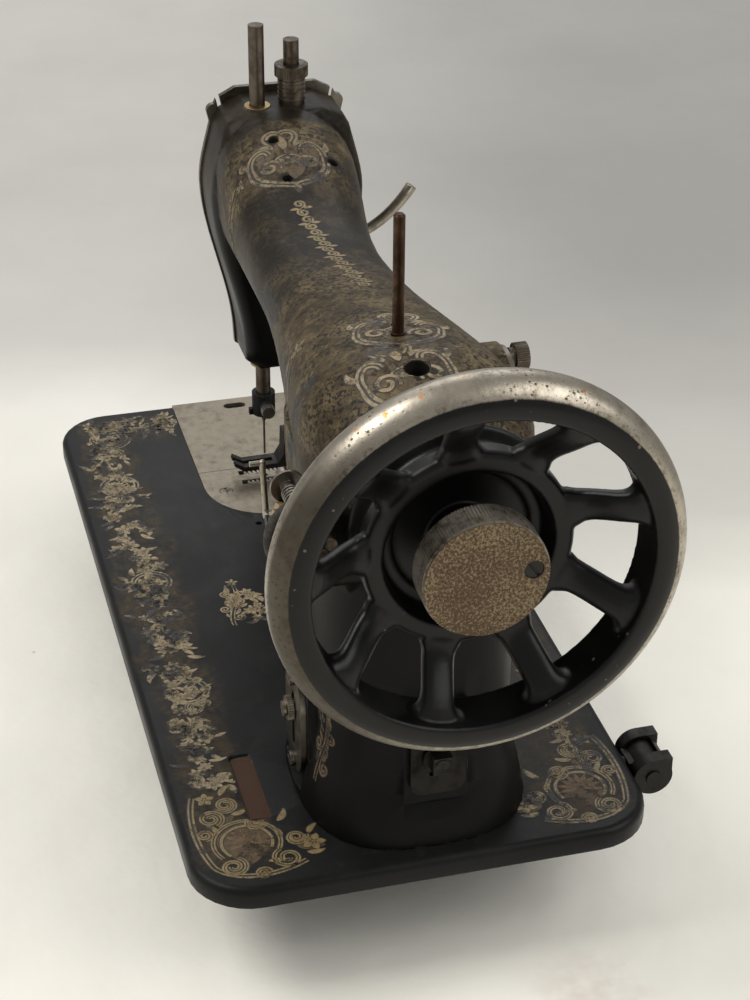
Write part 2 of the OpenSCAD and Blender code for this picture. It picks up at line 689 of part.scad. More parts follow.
// ---------------------------------------------------------------- take-up
take_x0 = -120.6;
take_t = 2.4;
take_tip = [take_y + take_r * cos(take_up_angle), take_h + take_r * sin(take_up_angle)];
take_eye_x = face_x - face_t - 12;
module take_up_lever() color([0.5, 0.48, 0.44]) translate([0, 0, bed_top_z]) {
    difference() {
        slab_x(take_x0, take_t) {
            difference() {
                union() {
                    bar2([take_y, take_h], take_tip, 2.6);
                    translate([take_y, take_h]) circle(5.5);
                    bar2([take_y, take_h], [take_y - 6, take_h - 11], 2.4);
                }
                translate([take_y, take_h]) circle(take_pin_r + run_gap);
            }
        }
    }
    along_x(take_eye_x + 0.4, take_tip[0], take_tip[1]) cylinder(take_x0 - take_eye_x, r = 1.5);
    along_x(take_eye_x, take_tip[0], take_tip[1] + 2.9) ring(2.9, 1.2, 2);
}
module take_up_roller() color([0.4, 0.38, 0.34])
    along_x(take_x0 + take_t, take_y - 6, bed_top_z + take_h - 11) cylinder(3.5, r = 2.2);
module take_up_stud() color([0.35, 0.33, 0.3]) translate([0, take_y, bed_top_z + take_h]) {
    along_x(take_x0 - 0.3) cylinder(-88 - take_x0 + 0.3, r = take_pin_r);
    along_x(take_x0 + take_t + free_gap) cylinder(6, r = take_pin_r + 1.6);
}

// ---------------------------------------------------------------- arm shaft
link_x0 = -100.4;
crank_x0 = link_x0 + link_t + 0.4;
crank_x1 = front_bush_x0 - 2;
crank_h = shaft_h + crank_throw;
shaft_x1 = knob_x1 - knob_t + 6.5;
module arm_shaft() color([0.42, 0.4, 0.37]) along_x(crank_x0, 0, shaft_z) cylinder(shaft_x1 - crank_x0, r = shaft_r);
module arm_bushings() color([0.5, 0.46, 0.36]) {
    along_x(front_bush_x0, 0, shaft_z) ring(bush_o, shaft_r + run_gap, front_bush_l);
    along_x(rear_bush_x0, 0, shaft_z) ring(bush_o, shaft_r + run_gap, rear_bush_l);
}
module crank_disc() color([0.36, 0.34, 0.32]) difference() {
    union() {
        along_x(crank_x0, 0, shaft_z) cylinder(crank_x1 - crank_x0, r = crank_disc_r);
    }
    along_x(crank_x0 - 1, 0, shaft_z) cylinder(crank_x1 - crank_x0 + 2, r = shaft_r);
    along_x(crank_x0 - 1, 0, shaft_z + crank_throw) cylinder(6, r = crank_pin_r);
    // cam groove of the take-up
    along_x((crank_x0 + crank_x1) / 2 - 1.5, 0, shaft_z) ring(crank_disc_r + 1, crank_disc_r - 2.2, 3);
}
module crank_pin() color([0.5, 0.48, 0.45])
    along_x(link_x0 - 0.2, 0, shaft_z + crank_throw) cylinder(crank_x0 + 5 - link_x0 + 0.2, r = crank_pin_r);
module needle_bar_link() color([0.45, 0.43, 0.4]) translate([0, 0, shaft_z + crank_throw]) slab_x(link_x0, link_t)
    difference() {
        union() {
            bar2([0, 0], [0, -link_l], 2.8);
            circle(link_eye_r);
            translate([0, -link_l]) circle(link_eye_r);
        }
        circle(crank_pin_r + run_gap);
        translate([0, -link_l]) circle(1.9);
    }
module rod_eccentrics() color([0.4, 0.38, 0.35]) difference() {
    union() {
        along_x(rod_x - rod_t / 2, 0, shaft_z + rod_throw) cylinder(rod_t, r = rod_disc_r);
        along_x(fork_x - rod_t / 2, 0, shaft_z + fork_throw) cylinder(rod_t, r = fork_disc_r);
        along_x(fork_x, 0, shaft_z) cylinder(rod_x - fork_x, r = shaft_r + 1.2);
    }
    along_x(fork_x - rod_t, 0, shaft_z) cylinder(rod_x - fork_x + 2 * rod_t, r = shaft_r);
}
module rod(x, top, disc, low, strap) {
    slab_x(x - rod_t / 2, rod_t) difference() {
        union() {
            bar2(top, low, 3.6);
            translate(top) circle(disc + strap);
            translate(low) circle(5.4);
        }
        translate(top) circle(disc + run_gap);
        translate(low) circle(3);
    }
}
module hook_rod() color([0.33, 0.31, 0.29])
    rod(rod_x, [0, shaft_z + rod_throw], rod_disc_r, [rock_pin_y, hook_z], 3.6);
module feed_rod() color([0.33, 0.31, 0.29])
    rod(fork_x, [0, shaft_z + fork_throw], fork_disc_r, [feed_y - 16, rock_z], 3.4);

// ---------------------------------------------------------------- needle bar
module needle_bar() color([0.33, 0.2, 0.14]) translate([bar_x, 0, bed_top_z]) difference() {
    translate([0, 0, needle_bar_low]) cylinder(needle_bar_top - needle_bar_low, r = bar_r);
    translate([0, 0, needle_bar_low - 1]) cylinder(needle_socket + 1, r = needle_shank_r);
}
stud_h = shaft_h + crank_throw - link_l;
module needle_bar_collar() color([0.4, 0.38, 0.35]) translate([bar_x, 0, bed_top_z + stud_h]) difference() {
    union() {
        translate([0, 0, -4.5]) cylinder(9, r = bar_r + 1.6);
        along_x(3, 0, 0) cylinder(link_x0 - free_gap - bar_x - 3, r = 1.6);
        along_y(0, -3, 0) cylinder(4, r = 2.2);
    }
    translate([0, 0, -6]) cylinder(12, r = bar_r);
    along_y(0, -4.5, 0) cylinder(4, r = 1);
}
module collar_pinch_screw() color([0.3, 0.29, 0.27])
    translate([bar_x, -9, bed_top_z + stud_h]) rotate([90, 0, 0]) slot_screw(2, 2, 1, 2.4);
module bar_bushings() color([0.5, 0.44, 0.32]) translate([bar_x, 0, bed_top_z]) {
    translate([0, 0, head_low_z]) ring(bush_r, bar_r + run_gap, head_floor);
    translate([0, 0, head_flat_z - head_floor]) ring(bush_r, bar_r + run_gap, head_floor - 0.4);
    translate([0, presser_y, head_low_z]) ring(bush_r, bar_r + run_gap, head_floor);
}
module needle_clamp() color([0.1, 0.1, 0.1]) translate([bar_x, 0, bed_top_z + needle_bar_low]) difference() {
    union() {
        cylinder(11, r = bar_r + 2);
        along_x(3, 0, 5.5) cylinder(4.4, r = 2.8);
        translate([-1.2, -bar_r - 3.6, 0]) cube([2.4, 4, 3]);
    }
    translate([0, 0, -1]) cylinder(13, r = bar_r);
    along_x(0, 0, 5.5) cylinder(12, r = 1.2 + run_gap);
}
module needle_clamp_screw() color([0.35, 0.33, 0.3]) translate([bar_x, 0, bed_top_z + needle_bar_low + 5.5]) {
    along_x(bar_r + 0.1) cylinder(5, r = 1.2);
    along_x(bar_r + 4.3) knurled(3.2, 4, 20);
}
module needle() color([0.6, 0.58, 0.54]) translate([bar_x, 0, bed_top_z + needle_bar_low]) {
    translate([0, 0, -4]) cylinder(4 + needle_socket, r = needle_shank_r);
    translate([0, 0, -needle_l + 10]) cylinder(needle_l - 10 - 4 + eps, r = needle_blade_r);
}

// ---------------------------------------------------------------- presser bar
presser_low = 22;
sole_h = foot_lift + foot_gap;
lug_gap_h = lifter_h + 10.3;
module presser_bar() color([0.33, 0.2, 0.14]) translate([bar_x, presser_y, bed_top_z + presser_low])
    cylinder(presser_top - presser_low, r = bar_r);
module pressure_thumbscrew() color([0.35, 0.26, 0.2]) translate([bar_x, presser_y, bed_top_z]) difference() {
    union() {
        translate([0, 0, head_flat_z - head_floor]) cylinder(head_floor + 13, r = pressure_screw_r);
        for (i = [0:4]) translate([0, 0, head_flat_z + 1.5 + i * 2]) cylinder(1, r = pressure_screw_r + 0.4);
        translate([0, 0, head_flat_z + 12]) knurled(pressure_knurl_r, 5, 60);
    }
    translate([0, 0, head_flat_z - head_floor - 1]) cylinder(60, r = bar_r + 0.1);
}
module presser_spring() color([0.45, 0.44, 0.42]) translate([bar_x, presser_y, bed_top_z]) {
    // closed coils of the spring round the presser bar
    spring_low = lug_gap_h + 9;
    spring_top = head_flat_z - head_floor - free_gap;
    for (i = [0:9]) translate([0, 0, mix(spring_low, spring_top - 1.4, i / 9)]) ring(5.1, bar_r + 0.3, 1.4);
    translate([3.9, -0.6, spring_low]) cube([1, 1.2, spring_top - spring_low]);
}
module presser_guide() color([0.38, 0.36, 0.33]) translate([bar_x, presser_y, bed_top_z + lug_gap_h]) difference() {
    union() {
        cylinder(8.7, r = bar_r + 1.6);
        translate([-3.4, 2, 0]) cube([6.2, lifter_y + 2.5 - presser_y - 2, 4.5]);
        along_x(-7.4, 0, 4.4) cylinder(4, r = 2.2);
    }
    translate([0, 0, -1]) cylinder(12, r = bar_r);
    along_x(-10, 0, 4.4) cylinder(6.5, r = 1);
}
module guide_screw() color([0.3, 0.29, 0.27]) translate([bar_x - 9.4, presser_y, bed_top_z + lug_gap_h + 4.4])
    rotate([0, -90, 0]) slot_screw(2, 2, 1, 3.6);
// section of the lifter's finger at share t of its length, round and square to its curve
function finger_ring(t) = let (
        r = 2.45 - 0.6 * t * (1 - t) + 0.15 * t,
        y = 1.5 + 51 * t - 9.5 * t * t,
        z = 24 * t * t,
        q = atan2(48 * t, 51 - 19 * t))
    [for (i = [0:15]) let (a = i * 22.5)
        [lifter_x0 + lifter_t / 2 + r * cos(a), y - r * sin(a) * sin(q), z + r * sin(a) * cos(q)]];
module presser_lifter() color([0.6, 0.58, 0.54]) translate([0, lifter_y, bed_top_z + lifter_h]) difference() {
    union() {
        slab_x(lifter_x0, lifter_t) {
            circle(4);
            bar2([0, 0], [8.08 * cos(60), 8.08 * sin(60)], 3);
        }
        loft([for (k = [12:-1:0]) finger_ring(k / 12)]);
    }
    along_x(lifter_x0 - 1, 0, 0) cylinder(lifter_t + 2, r = lifter_pin_r + run_gap);
}
module lifter_pin() color([0.4, 0.38, 0.35]) translate([0, lifter_y, bed_top_z + lifter_h]) {
    along_x(-112) cylinder(lifter_pin_l, r = lifter_pin_r);
    along_x(-112) cylinder(lifter_x0 - free_gap + 112, r = lifter_pin_r + 2);
}
module presser_foot() color([0.36, 0.35, 0.33]) translate([bar_x, 0, bed_top_z]) difference() {
    union() {
        slab_x(-5, 10) polygon([[-15.5, sole_h + 3.2], [-11, sole_h], [13, sole_h], [14.5, sole_h + 2.6],
            [13.5, sole_h + 9], [13.5, presser_low + 1], [8.6, presser_low + 1], [8.2, sole_h + 7],
            [5.5, sole_h + 2.4], [-10.5, sole_h + 2.2], [-15, sole_h + 5]]);
        translate([0, presser_y, presser_low - 4]) cylinder(15, r = bar_r + 2.2);
    }
    translate([0, presser_y, presser_low]) cylinder(20, r = bar_r);
    translate([-1.4, -20, sole_h - 1]) cube([2.8, 23.5, 8]);
    along_x(0, presser_y, presser_low + 6) cylinder(12, r = 1.5 + run_gap);
}
module foot_screw() color([0.12, 0.12, 0.12]) translate([bar_x, presser_y, bed_top_z + presser_low + 6]) {
    along_x(bar_r + 0.1) cylinder(5.5, r = 1.5);
    along_x(bar_r + 2.6) knurled(4.6, 5, 30);
}

// ---------------------------------------------------------------- tension on the face plate
disc_x = face_x - face_t - 4;
module tension_stud() color([0.4, 0.38, 0.35]) translate([0, tension_y, bed_top_z + tension_h]) {
    along_x(face_x - face_t - 26) cylinder(26 + face_t + 3, r = tension_r);
    along_x(disc_x + 1) ring(5.5, tension_r, 3);
}
module check_spring() color([0.5, 0.49, 0.46]) translate([disc_x - 1.1, tension_y, bed_top_z + tension_h]) {
    along_x(0) ring(5, tension_r + 0.2, 1);
    along_x(0, -8.5, 4) ring(1.7, 0.9, 1);
    slab_x(0, 1) bar2([-4.2, 1.6], [-7, 3.4], 0.7);
}
module tension_discs() color([0.55, 0.53, 0.49]) translate([0, tension_y, bed_top_z + tension_h])
    for (i = [0, 1]) along_x(disc_x - 3.1 - i * 1.9) difference() {
        cylinder(1.2, r = 10.5);
        translate([0, 0, -1]) cylinder(4, r = tension_r + 0.1);
        translate([0, 0, i == 0 ? -0.6 : 0.7]) ring(9, 5, 1.1);
    }
module tension_spring() color([0.5, 0.49, 0.46]) translate([0, tension_y, bed_top_z + tension_h]) {
    for (i = [0:4]) along_x(disc_x - 6.4 - i * 1.9) ring(4.6 - i * 0.2, tension_r + 0.3, 1.1);
    translate([disc_x - 14, 2.7, -0.5]) cube([8.6, 0.9, 1]);
}
module tension_nut() color([0.5, 0.48, 0.43]) translate([disc_x - 20.3, tension_y, bed_top_z + tension_h])
    difference() {
        along_x(0) knurled(6.5, 6, 40);
        along_x(-1) cylinder(8, r = tension_r + 0.05);
    }

// ---------------------------------------------------------------- handwheel
function polar(r, a) = [r * cos(a), r * sin(a)];
function arc(c, r, a0, a1, n) = [for (i = [0:n]) c + polar(r, mix(a0, a1, i / n))];
// section of a spoke at radius r, wider where it runs into the hub and the rim
function spoke_ring(r) = let (
        t = (r - hub_r) / (rim_inner_r - hub_r),
        d = drop(4, r - hub_r + 4),
        c = mix(hub_x1 - 3, rim_x + 0.5, sstep(0, 1, t)),
        w = spoke_w / 2 + mix(2.5, 5.5, t) * pow(min(1, abs(2 * t - 1)), 6) - d,
        h = spoke_t / 2 + max(0, t) - d * 0.7)
    [for (i = [0:15]) let (a = i * 22.5) [c + h * power(cos(a), 0.8), w * power(sin(a), 0.8), r]];
wheel_boss_r = 28;
wheel_x0 = 180.5;
pulley_x0 = 191;
pulley_x1 = 206;
hub_x1 = 212;
bore_r = shaft_r;
recess_r = 29;
recess_x = 200;
// hub with its belt groove and recess, drawn as (radius, X)
module wheel_profile() {
    polygon([[bore_r + run_gap, wheel_x0], [wheel_boss_r, wheel_x0], [wheel_boss_r, pulley_x0],
        [hub_r, pulley_x0], [hub_r, pulley_x0 + 2], [hub_r - belt_groove, pulley_x0 + 2 + belt_groove * 0.6],
        [hub_r - belt_groove, pulley_x1 - 2 - belt_groove * 0.6], [hub_r, pulley_x1 - 2],
        [hub_r, hub_x1 - 1.5], [hub_r - 1.5, hub_x1], [recess_r, hub_x1], [recess_r - 1.5, recess_x + 2], [24, recess_x + 2], [23, recess_x],
        [bore_r + 5, recess_x], [bore_r + 5, hub_x1 + 2], [bore_r + run_gap, hub_x1 + 2]]);
}
module handwheel() color([0.08, 0.08, 0.08]) union() {
    along_x(0, 0, shaft_z) {
        rotate_extrude($fn = 144) wheel_profile();
        rotate_extrude($fn = 144) difference() {
            translate([wheel_r - rim_round, rim_x]) circle(rim_round, $fn = 72);
            translate([rim_inner_r - 60, rim_x - 20]) square([60, 40]);
        }
    }
    translate([0, 0, shaft_z]) for (i = [0:spokes - 1]) rotate([spoke_turn + i * 360 / spokes - 90, 0, 0])
        loft([for (k = [0:12]) spoke_ring(mix(hub_r - 3.9, rim_inner_r + 2.5, k / 12))]);
}
module stop_washer() color([0.45, 0.43, 0.4]) along_x(hub_x1 + 2, 0, shaft_z) difference() {
    cylinder(2, r = 13);
    translate([0, 0, -1]) cylinder(4, r = shaft_r);
    for (s = [-1, 1]) translate([s * 12, -2, -1]) cube([4, 4, 4], center = false);
}
knob_x0 = knob_x1 - knob_t;
module stop_knob() color([0.5, 0.42, 0.33]) difference() {
    union() {
        along_x(knob_x0, 0, shaft_z) knurled(knob_r, knob_t - 1, 120);
        along_x(knob_x1 - 1, 0, shaft_z) cylinder(1, r = knob_r - 0.6);
        along_x(hub_x1 + 4 + 0.1, 0, shaft_z) cylinder(knob_x0 - hub_x1 - 4, r = 12.5);
    }
    along_x(hub_x1 + 3, 0, shaft_z) cylinder(shaft_x1 - hub_x1 - 3 + 0.3, r = shaft_r + run_gap);
    along_x(knob_x1 - 6, knob_screw_y, shaft_z + 1.6) cylinder(8, r = 1.6);
    along_x(knob_x1 - 1.6, knob_screw_y, shaft_z + 1.6) cylinder(3, r = 3.3);
}
knob_screw_y = 15.6;
module knob_screw() color([0.4, 0.36, 0.3]) translate([knob_x1 - 0.3, knob_screw_y, shaft_z + 1.6])
    rotate([0, 90, 0]) rotate(35) slot_screw(3.2, 1.3, 1.6, 4);

// ---------------------------------------------------------------- bobbin winder
winder_z = bed_top_z + winder_h;
tilt_y = winder_y - 0.8;
tilt_z = bed_top_z + winder_base_h;
barrel_x = [163, 176];
winder_pulley_x = [178.6, 187];
module winder_base() color([0.08, 0.08, 0.08]) difference() {
    union() {
        along_y(winder_base_x, winder_pad_y, tilt_z) cylinder(2.1, r = 8);
        for (x = [-9, 6]) slab_x(winder_base_x + x, 3) translate([tilt_y, tilt_z]) {
            circle(3.8);
            translate([0, -3.8]) square([winder_pad_y - tilt_y, 7.6]);
        }
        translate([winder_base_x - 9, winder_pad_y - 2.1, tilt_z - 3.8]) cube([18, 2.1, 7.6]);
    }
    along_x(winder_base_x - 20, tilt_y, tilt_z) cylinder(40, r = 1.6);
    along_y(winder_base_x, winder_pad_y + 1, tilt_z) cylinder(4.6, r = winder_pin_r);
}
module winder_base_screw() color([0.35, 0.33, 0.3]) along_y(winder_base_x, -26, tilt_z)
    cylinder(-winder_pad_y - 24, r = winder_pin_r - 0.02);
module winder_tilt_pin() color([0.4, 0.38, 0.35]) {
    along_x(winder_base_x - 9.6, tilt_y, tilt_z) cylinder(19.2, r = 1.58);
    along_x(winder_base_x + 9.1, tilt_y, tilt_z) cylinder(1.6, r = 2.8);
}
module winder_frame() color([0.09, 0.09, 0.09]) difference() {
    union() {
        along_x(barrel_x[0], winder_y, winder_z) cylinder(barrel_x[1] - barrel_x[0], r = 4.6);
        slab_x(winder_base_x - 5.7, 11.4) {
            translate([tilt_y, tilt_z]) circle(3);
            bar2([tilt_y, tilt_z], [tilt_y, tilt_z + 7], winder_leg_r);
        }
        slab_x(barrel_x[0], 5) bar2([tilt_y, tilt_z + 7], [tilt_y + 0.4, winder_z - 3], winder_leg_r);
        // plate that carries the worm wheel and the thread guide
        slab_y(tilt_y + winder_leg_r, 2 * winder_leg_r) {
            bar2([guide_x, guide_z], [worm_x, worm_z], 3.2);
            bar2([worm_x, worm_z], [barrel_x[0] + 2, worm_z], 3.2);
        }
    }
    along_x(barrel_x[0] - 1, winder_y, winder_z) cylinder(20, r = spindle_r + run_gap);
    along_x(winder_base_x - 20, tilt_y, tilt_z) cylinder(40, r = 1.58 + run_gap);
    along_y(worm_x, tilt_y + 3, worm_z) cylinder(6, r = 1.56);
    along_y(guide_x, tilt_y + 3, guide_z) cylinder(6, r = 1.36);
}
worm_x = 157.5;
worm_z = tilt_z + 18.7;
guide_x = 144;
guide_z = tilt_z + 11.5;
worm_r = 7.4;
winder_leg_r = 1.9;
winder_front_y = tilt_y - winder_leg_r - free_gap;
module winder_spindle() color([0.6, 0.58, 0.55]) {
    along_x(140, winder_y, winder_z) cylinder(198 - 140, r = spindle_r);
    along_x(139, winder_y, winder_z) cylinder(1, r1 = spindle_r - 0.8, r2 = spindle_r);
    along_x(148.4, winder_y, winder_z) cylinder(1.2, r = 6.2);
    // worm on the spindle
    for (i = [0:3]) along_x(153.6 + i * 1.7, winder_y, winder_z) cylinder(0.9, r = spindle_r + 0.8);
}
module winder_pulley() color([0.12, 0.11, 0.1]) along_x(winder_pulley_x[0], winder_y, winder_z) difference() {
    rotate_extrude() polygon([[spindle_r, 0], [tyre_r - 2.6, 0], [tyre_r - 2.6, 1.2], [tyre_r - 4.6, 1.2],
        [tyre_r - 4.6, 6.2], [tyre_r - 2.6, 6.2], [tyre_r - 2.6, 7.4], [spindle_r + 5, 8.4], [spindle_r, 8.4]]);
    translate([0, 0, -1]) cylinder(0.5, r = spindle_r);
}
module winder_tyre() color([0.05, 0.05, 0.05]) along_x(winder_pulley_x[0] + 1.4, winder_y, winder_z)
    rotate_extrude() translate([tyre_r - 2.3, 2.3]) circle(2.3 - 0.02);
module winder_nut() color([0.3, 0.16, 0.1]) along_x(187.2, winder_y, winder_z) difference() {
    union() {
        linear_extrude(6) circle(6.2);
        for (a = [0:120:240]) rotate(a) translate([4.2, 0, 0]) cylinder(6, r = 3);
    }
    translate([0, 0, -1]) cylinder(9, r = spindle_r);
}
module winder_screw() color([0.6, 0.58, 0.55]) along_x(198, winder_y, winder_z) {
    cylinder(1.2, r = 4.2);
    translate([0, 0, 1.2 - eps]) cylinder(1, r1 = 4.2, r2 = 3);
}
module winder_worm_wheel() color([0.5, 0.42, 0.25]) translate([worm_x, winder_front_y, worm_z]) {
    rotate([90, 0, 0]) difference() {
        union() {
            knurled(worm_r, 2.2, 30);
            translate([0, 0, 2.2 - eps]) linear_extrude(1.6) {
                translate([0, 1.6]) circle(3.8);
                bar2([0, 0], [0, -4], 1.8);
            }
        }
        translate([0, 0, -1]) cylinder(8, r = 1.55 + run_gap);
    }
}
module winder_worm_stud() color([0.4, 0.38, 0.35]) along_y(worm_x, tilt_y + 1.7, worm_z) {
    cylinder(8.1, r = 1.55);
    translate([0, 0, 8]) cylinder(1.2, r = 2.8);
}
module winder_guide() color([0.55, 0.53, 0.5]) translate([guide_x, winder_front_y, guide_z]) {
    difference() {
        union() {
            along_y(0, 0, 0) cylinder(2, r = 3.6);
            slab_y(0, 2) bar2([0, 0], [-13, -4.5], 1.6);
        }
        along_y(0, 1, 0) cylinder(4, r = 1.35 + run_gap);
    }
    // upright wire with its hooked end
    translate([-13, -1, -4.5]) {
        rotate([0, -14, 0]) cylinder(19, r = 1.1);
        translate([-4.6, 0, 18.2]) sphere(1.3);
        translate([-4.6, 0, 18.2]) rotate([90, 0, 0]) cylinder(4.6, r = 1);
    }
}
module winder_guide_screw() color([0.4, 0.38, 0.35]) along_y(guide_x, tilt_y + 1.7, guide_z) {
    cylinder(6.5, r = 1.35);
    translate([0, 0, 6.4]) cylinder(1.3, r = 2.6);
}

// ---------------------------------------------------------------- covers and plates on the casting
module rear_cover() color([0.3, 0.28, 0.25]) translate([0, cover_y + 2.4, bed_top_z]) slab_y(0, 2.4) difference() {
    translate([cover_x, cover_h]) circle(cover_r);
    translate([cover_pin_x, cover_pin_h]) circle(cover_pin_r + run_gap);
}
module rear_cover_thumbscrew() color([0.4, 0.34, 0.28]) {
    along_y(cover_pin_x, cover_y + 3, bed_top_z + cover_pin_h) cylinder(14, r = cover_pin_r);
    along_y(cover_pin_x, cover_y + 9.6, bed_top_z + cover_pin_h) knurled(5.2, 5, 36);
    along_y(cover_pin_x, cover_y + 4.7, bed_top_z + cover_pin_h) cylinder(2, r = 3.6);
}
module regulator_plate() color([0.16, 0.15, 0.14]) translate([0, reg_y, bed_top_z]) slab_y(0, 2.2) difference() {
    union() {
        bar2([reg_x, reg_h - 10], [reg_x, reg_h + 10], 12.5);
    }
    translate([reg_x - 2, reg_h - 12.5]) square([4, 25]);
    for (s = [-1, 1]) translate([reg_x, reg_h + s * reg_screw_d]) circle(reg_screw_r + run_gap);
}
module regulator_screws() color([0.4, 0.38, 0.34]) for (s = [-1, 1])
    translate([reg_x, reg_y - 4, bed_top_z + reg_h + s * reg_screw_d]) rotate([90, 0, 0])
        slot_screw(3, 1.8, reg_screw_r, 8);
module regulator_lever() color([0.45, 0.43, 0.39]) {
    translate([reg_x - 1.6, reg_y - 5.4, bed_top_z + reg_h + 2]) cube([3.2, 20.4, 6.4]);
    along_y(reg_x, reg_y - 5.3, bed_top_z + reg_h + 5.2) cylinder(1.2, r = 3);
}
module regulator_thumbnut() color([0.5, 0.46, 0.4]) difference() {
    along_y(reg_x, reg_y - 2.6, bed_top_z + reg_h + 5.2) knurled(4.9, 2.4, 36);
    translate([reg_x - 1.7, reg_y - 12, bed_top_z + reg_h + 1.9]) cube([3.4, 24, 6.6]);
}
module end_plate() color([0.1, 0.1, 0.1]) slab_x(shank_x1 + 3.6, 2.6) difference() {
    translate([pillar_y, bed_top_z + end_plate_h]) rrect(21, 33, 5);
    translate([pillar_y - 3.3, bed_top_z + end_plate_h - 8]) square([6.6, 16]);
}
module end_plate_bolt() color([0.13, 0.12, 0.12]) {
    along_x(shank_x1 - 12, pillar_y, bed_top_z + end_plate_h) cylinder(24.5, r = end_bolt_r);
    along_x(shank_x1 + 7.6, pillar_y, bed_top_z + end_plate_h) translate([-3.6, -3.6, 0]) cube([7.2, 7.2, 4.5]);
}
module end_plate_washer() color([0.2, 0.19, 0.18])
    along_x(shank_x1 + 6.3, pillar_y, bed_top_z + end_plate_h) ring(6.2, end_bolt_r + run_gap, 1.2);

// ---------------------------------------------------------------- bed hinges
hinge_y = bed_w / 2 + hinge_r + 0.6;
module hinge_arms() color([0.14, 0.13, 0.13]) for (s = [-1, 1]) translate([s * hinge_x, 0, hinge_z]) difference() {
    union() {
        along_y(0, bed_w / 2 + 5, 0) cylinder(30, r = hinge_pin_r);
        translate([-5, bed_w / 2 + 0.6, -3.6]) cube([10, hinge_y - bed_w / 2 - 0.6, 7.2]);
        along_x(-5, hinge_y, 0) cylinder(10, r = hinge_r - 1.5);
    }
    along_x(-10, hinge_y, 0) cylinder(20, r = 3 + run_gap);
}
module hinge_knuckles() color([0.14, 0.13, 0.13]) for (s = [-1, 1]) translate([s * hinge_x, hinge_y, hinge_z]) difference() {
    union() {
        along_x(-hinge_l / 2) cylinder(hinge_l / 2 - 5.3, r = hinge_r);
        along_x(5.3) cylinder(hinge_l / 2 - 5.3, r = hinge_r);
        for (x = [-hinge_l / 2, 5.3]) translate([x, 0, 0]) cube([hinge_l / 2 - 5.3, hinge_r - 0.4, hinge_r]);
        translate([-hinge_l / 2, 0, -hinge_r]) intersection() {
            translate([0, 4, 0]) cube([hinge_l, hinge_r, 2 * hinge_r]);
            along_x(0, 0, hinge_r) cylinder(hinge_l, r = hinge_r);
        }
    }
    along_x(-6, 0, 0) cylinder(12, r = hinge_r - 1.2);
    along_x(-hinge_l, 0, 0) cylinder(2 * hinge_l, r = 3 + run_gap);
}
module hinge_pins() color([0.3, 0.29, 0.27]) for (s = [-1, 1])
    along_x(s * hinge_x - hinge_l / 2 - 0.8, hinge_y, hinge_z) cylinder(hinge_l + 1.6, r = 3);

// ---------------------------------------------------------------- under the bed
rock_x1 = lug_x - lug_t / 2 - free_gap;
module rock_shaft(y) {
    difference() {
        along_x(-rock_x1, y, rock_z) cylinder(2 * rock_x1, r = rock_r);
        for (s = [-1, 1]) along_x(s * (rock_x1 - 3) - 4, y, rock_z) cylinder(8, r = centre_r + run_gap);
    }
}
bar_lane = -104;
bar_lane_w = 6;
bar_h0 = 12.6;
bar_top = 6.4;
module feed_rock_shaft() color([0.38, 0.36, 0.33]) {
    rock_shaft(feed_y);
    difference() {
        slab_x(bar_lane + bar_lane_w + 0.4, 4) bar2([feed_y, rock_z], [feed_y, bed_top_z - 9.6], 3.2);
        along_x(bar_lane, feed_y, bed_top_z - 9.6) cylinder(20, r = 1.3);
    }
    slab_x(fork_x + rod_t / 2 + 0.5, 4) difference() {
        bar2([feed_y - 4, rock_z], [feed_y - 16, rock_z], 4.4);
        translate([feed_y - 16, rock_z]) circle(2);
    }
}
module feed_hinge_pin() color([0.45, 0.43, 0.4])
    along_x(bar_lane + 0.4, feed_y, bed_top_z - 9.6) cylinder(bar_lane_w + 3.8, r = 1.3);
module feed_bar() color([0.4, 0.38, 0.35]) difference() {
    union() {
        translate([bar_lane, -16, bed_top_z - bar_h0]) cube([bar_lane_w, feed_y + 16, bar_h0 - bar_top]);
        slab_x(bar_lane, bar_lane_w) translate([feed_y, bed_top_z - 9.6]) circle(3.1);
    }
    along_x(bar_lane - 1, feed_y, bed_top_z - 9.6) cylinder(bar_lane_w + 2, r = 1.6);
}
module feed_dog() color([0.5, 0.48, 0.44]) translate([0, 0, bed_top_z]) difference() {
    union() {
        translate([-111.7, -8.4, -bar_top]) cube([13.7, 20, bar_top - 2.9]);
        for (x = feed_rows) translate([x - feed_row_w / 2, feed_slot_y[0] + 2.6, -4])
            difference() {
                cube([feed_row_w, feed_slot_y[1] - feed_slot_y[0] - 5.2, 3.7]);
                for (i = [0:9]) translate([-1, 1.2 + i * 2.1, 3.2]) cube([feed_row_w + 2, 0.9, 1]);
            }
    }
    translate([bar_x - 1.8, -4.4, -10]) cube([3.6, 8.8, 12]);
    translate([-120, -20, -10]) cube([120 - 112 + 0.3 + 3, 60, 5.3]);
}
module feed_dog_screws() color([0.35, 0.33, 0.3])
    for (y = [9]) translate([bar_lane + bar_lane_w / 2, y, bed_top_z - bar_h0 - 1.2])
        cylinder(1.2, r = 2.6);
module lift_rock_shaft() color([0.38, 0.36, 0.33]) {
    rock_shaft(lift_y);
    slab_x(bar_lane, bar_lane_w)
        bar2([lift_y, rock_z], [-13, bed_top_z - bar_h0 - 3.4 - free_gap], 3);
    slab_x(118, 5) bar2([lift_y, rock_z], [lift_y + 14, rock_z], 4);
}
module centre_screws() color([0.3, 0.29, 0.27])
    for (s = [-1, 1], y = [feed_y, lift_y]) translate([s * (lug_x + 8), y, rock_z]) rotate([0, s * 90, 0])
        slot_screw(5, 3, centre_r, 15);
hook_x0 = -126;
hook_x1 = -115;
case_x0 = -127.6;
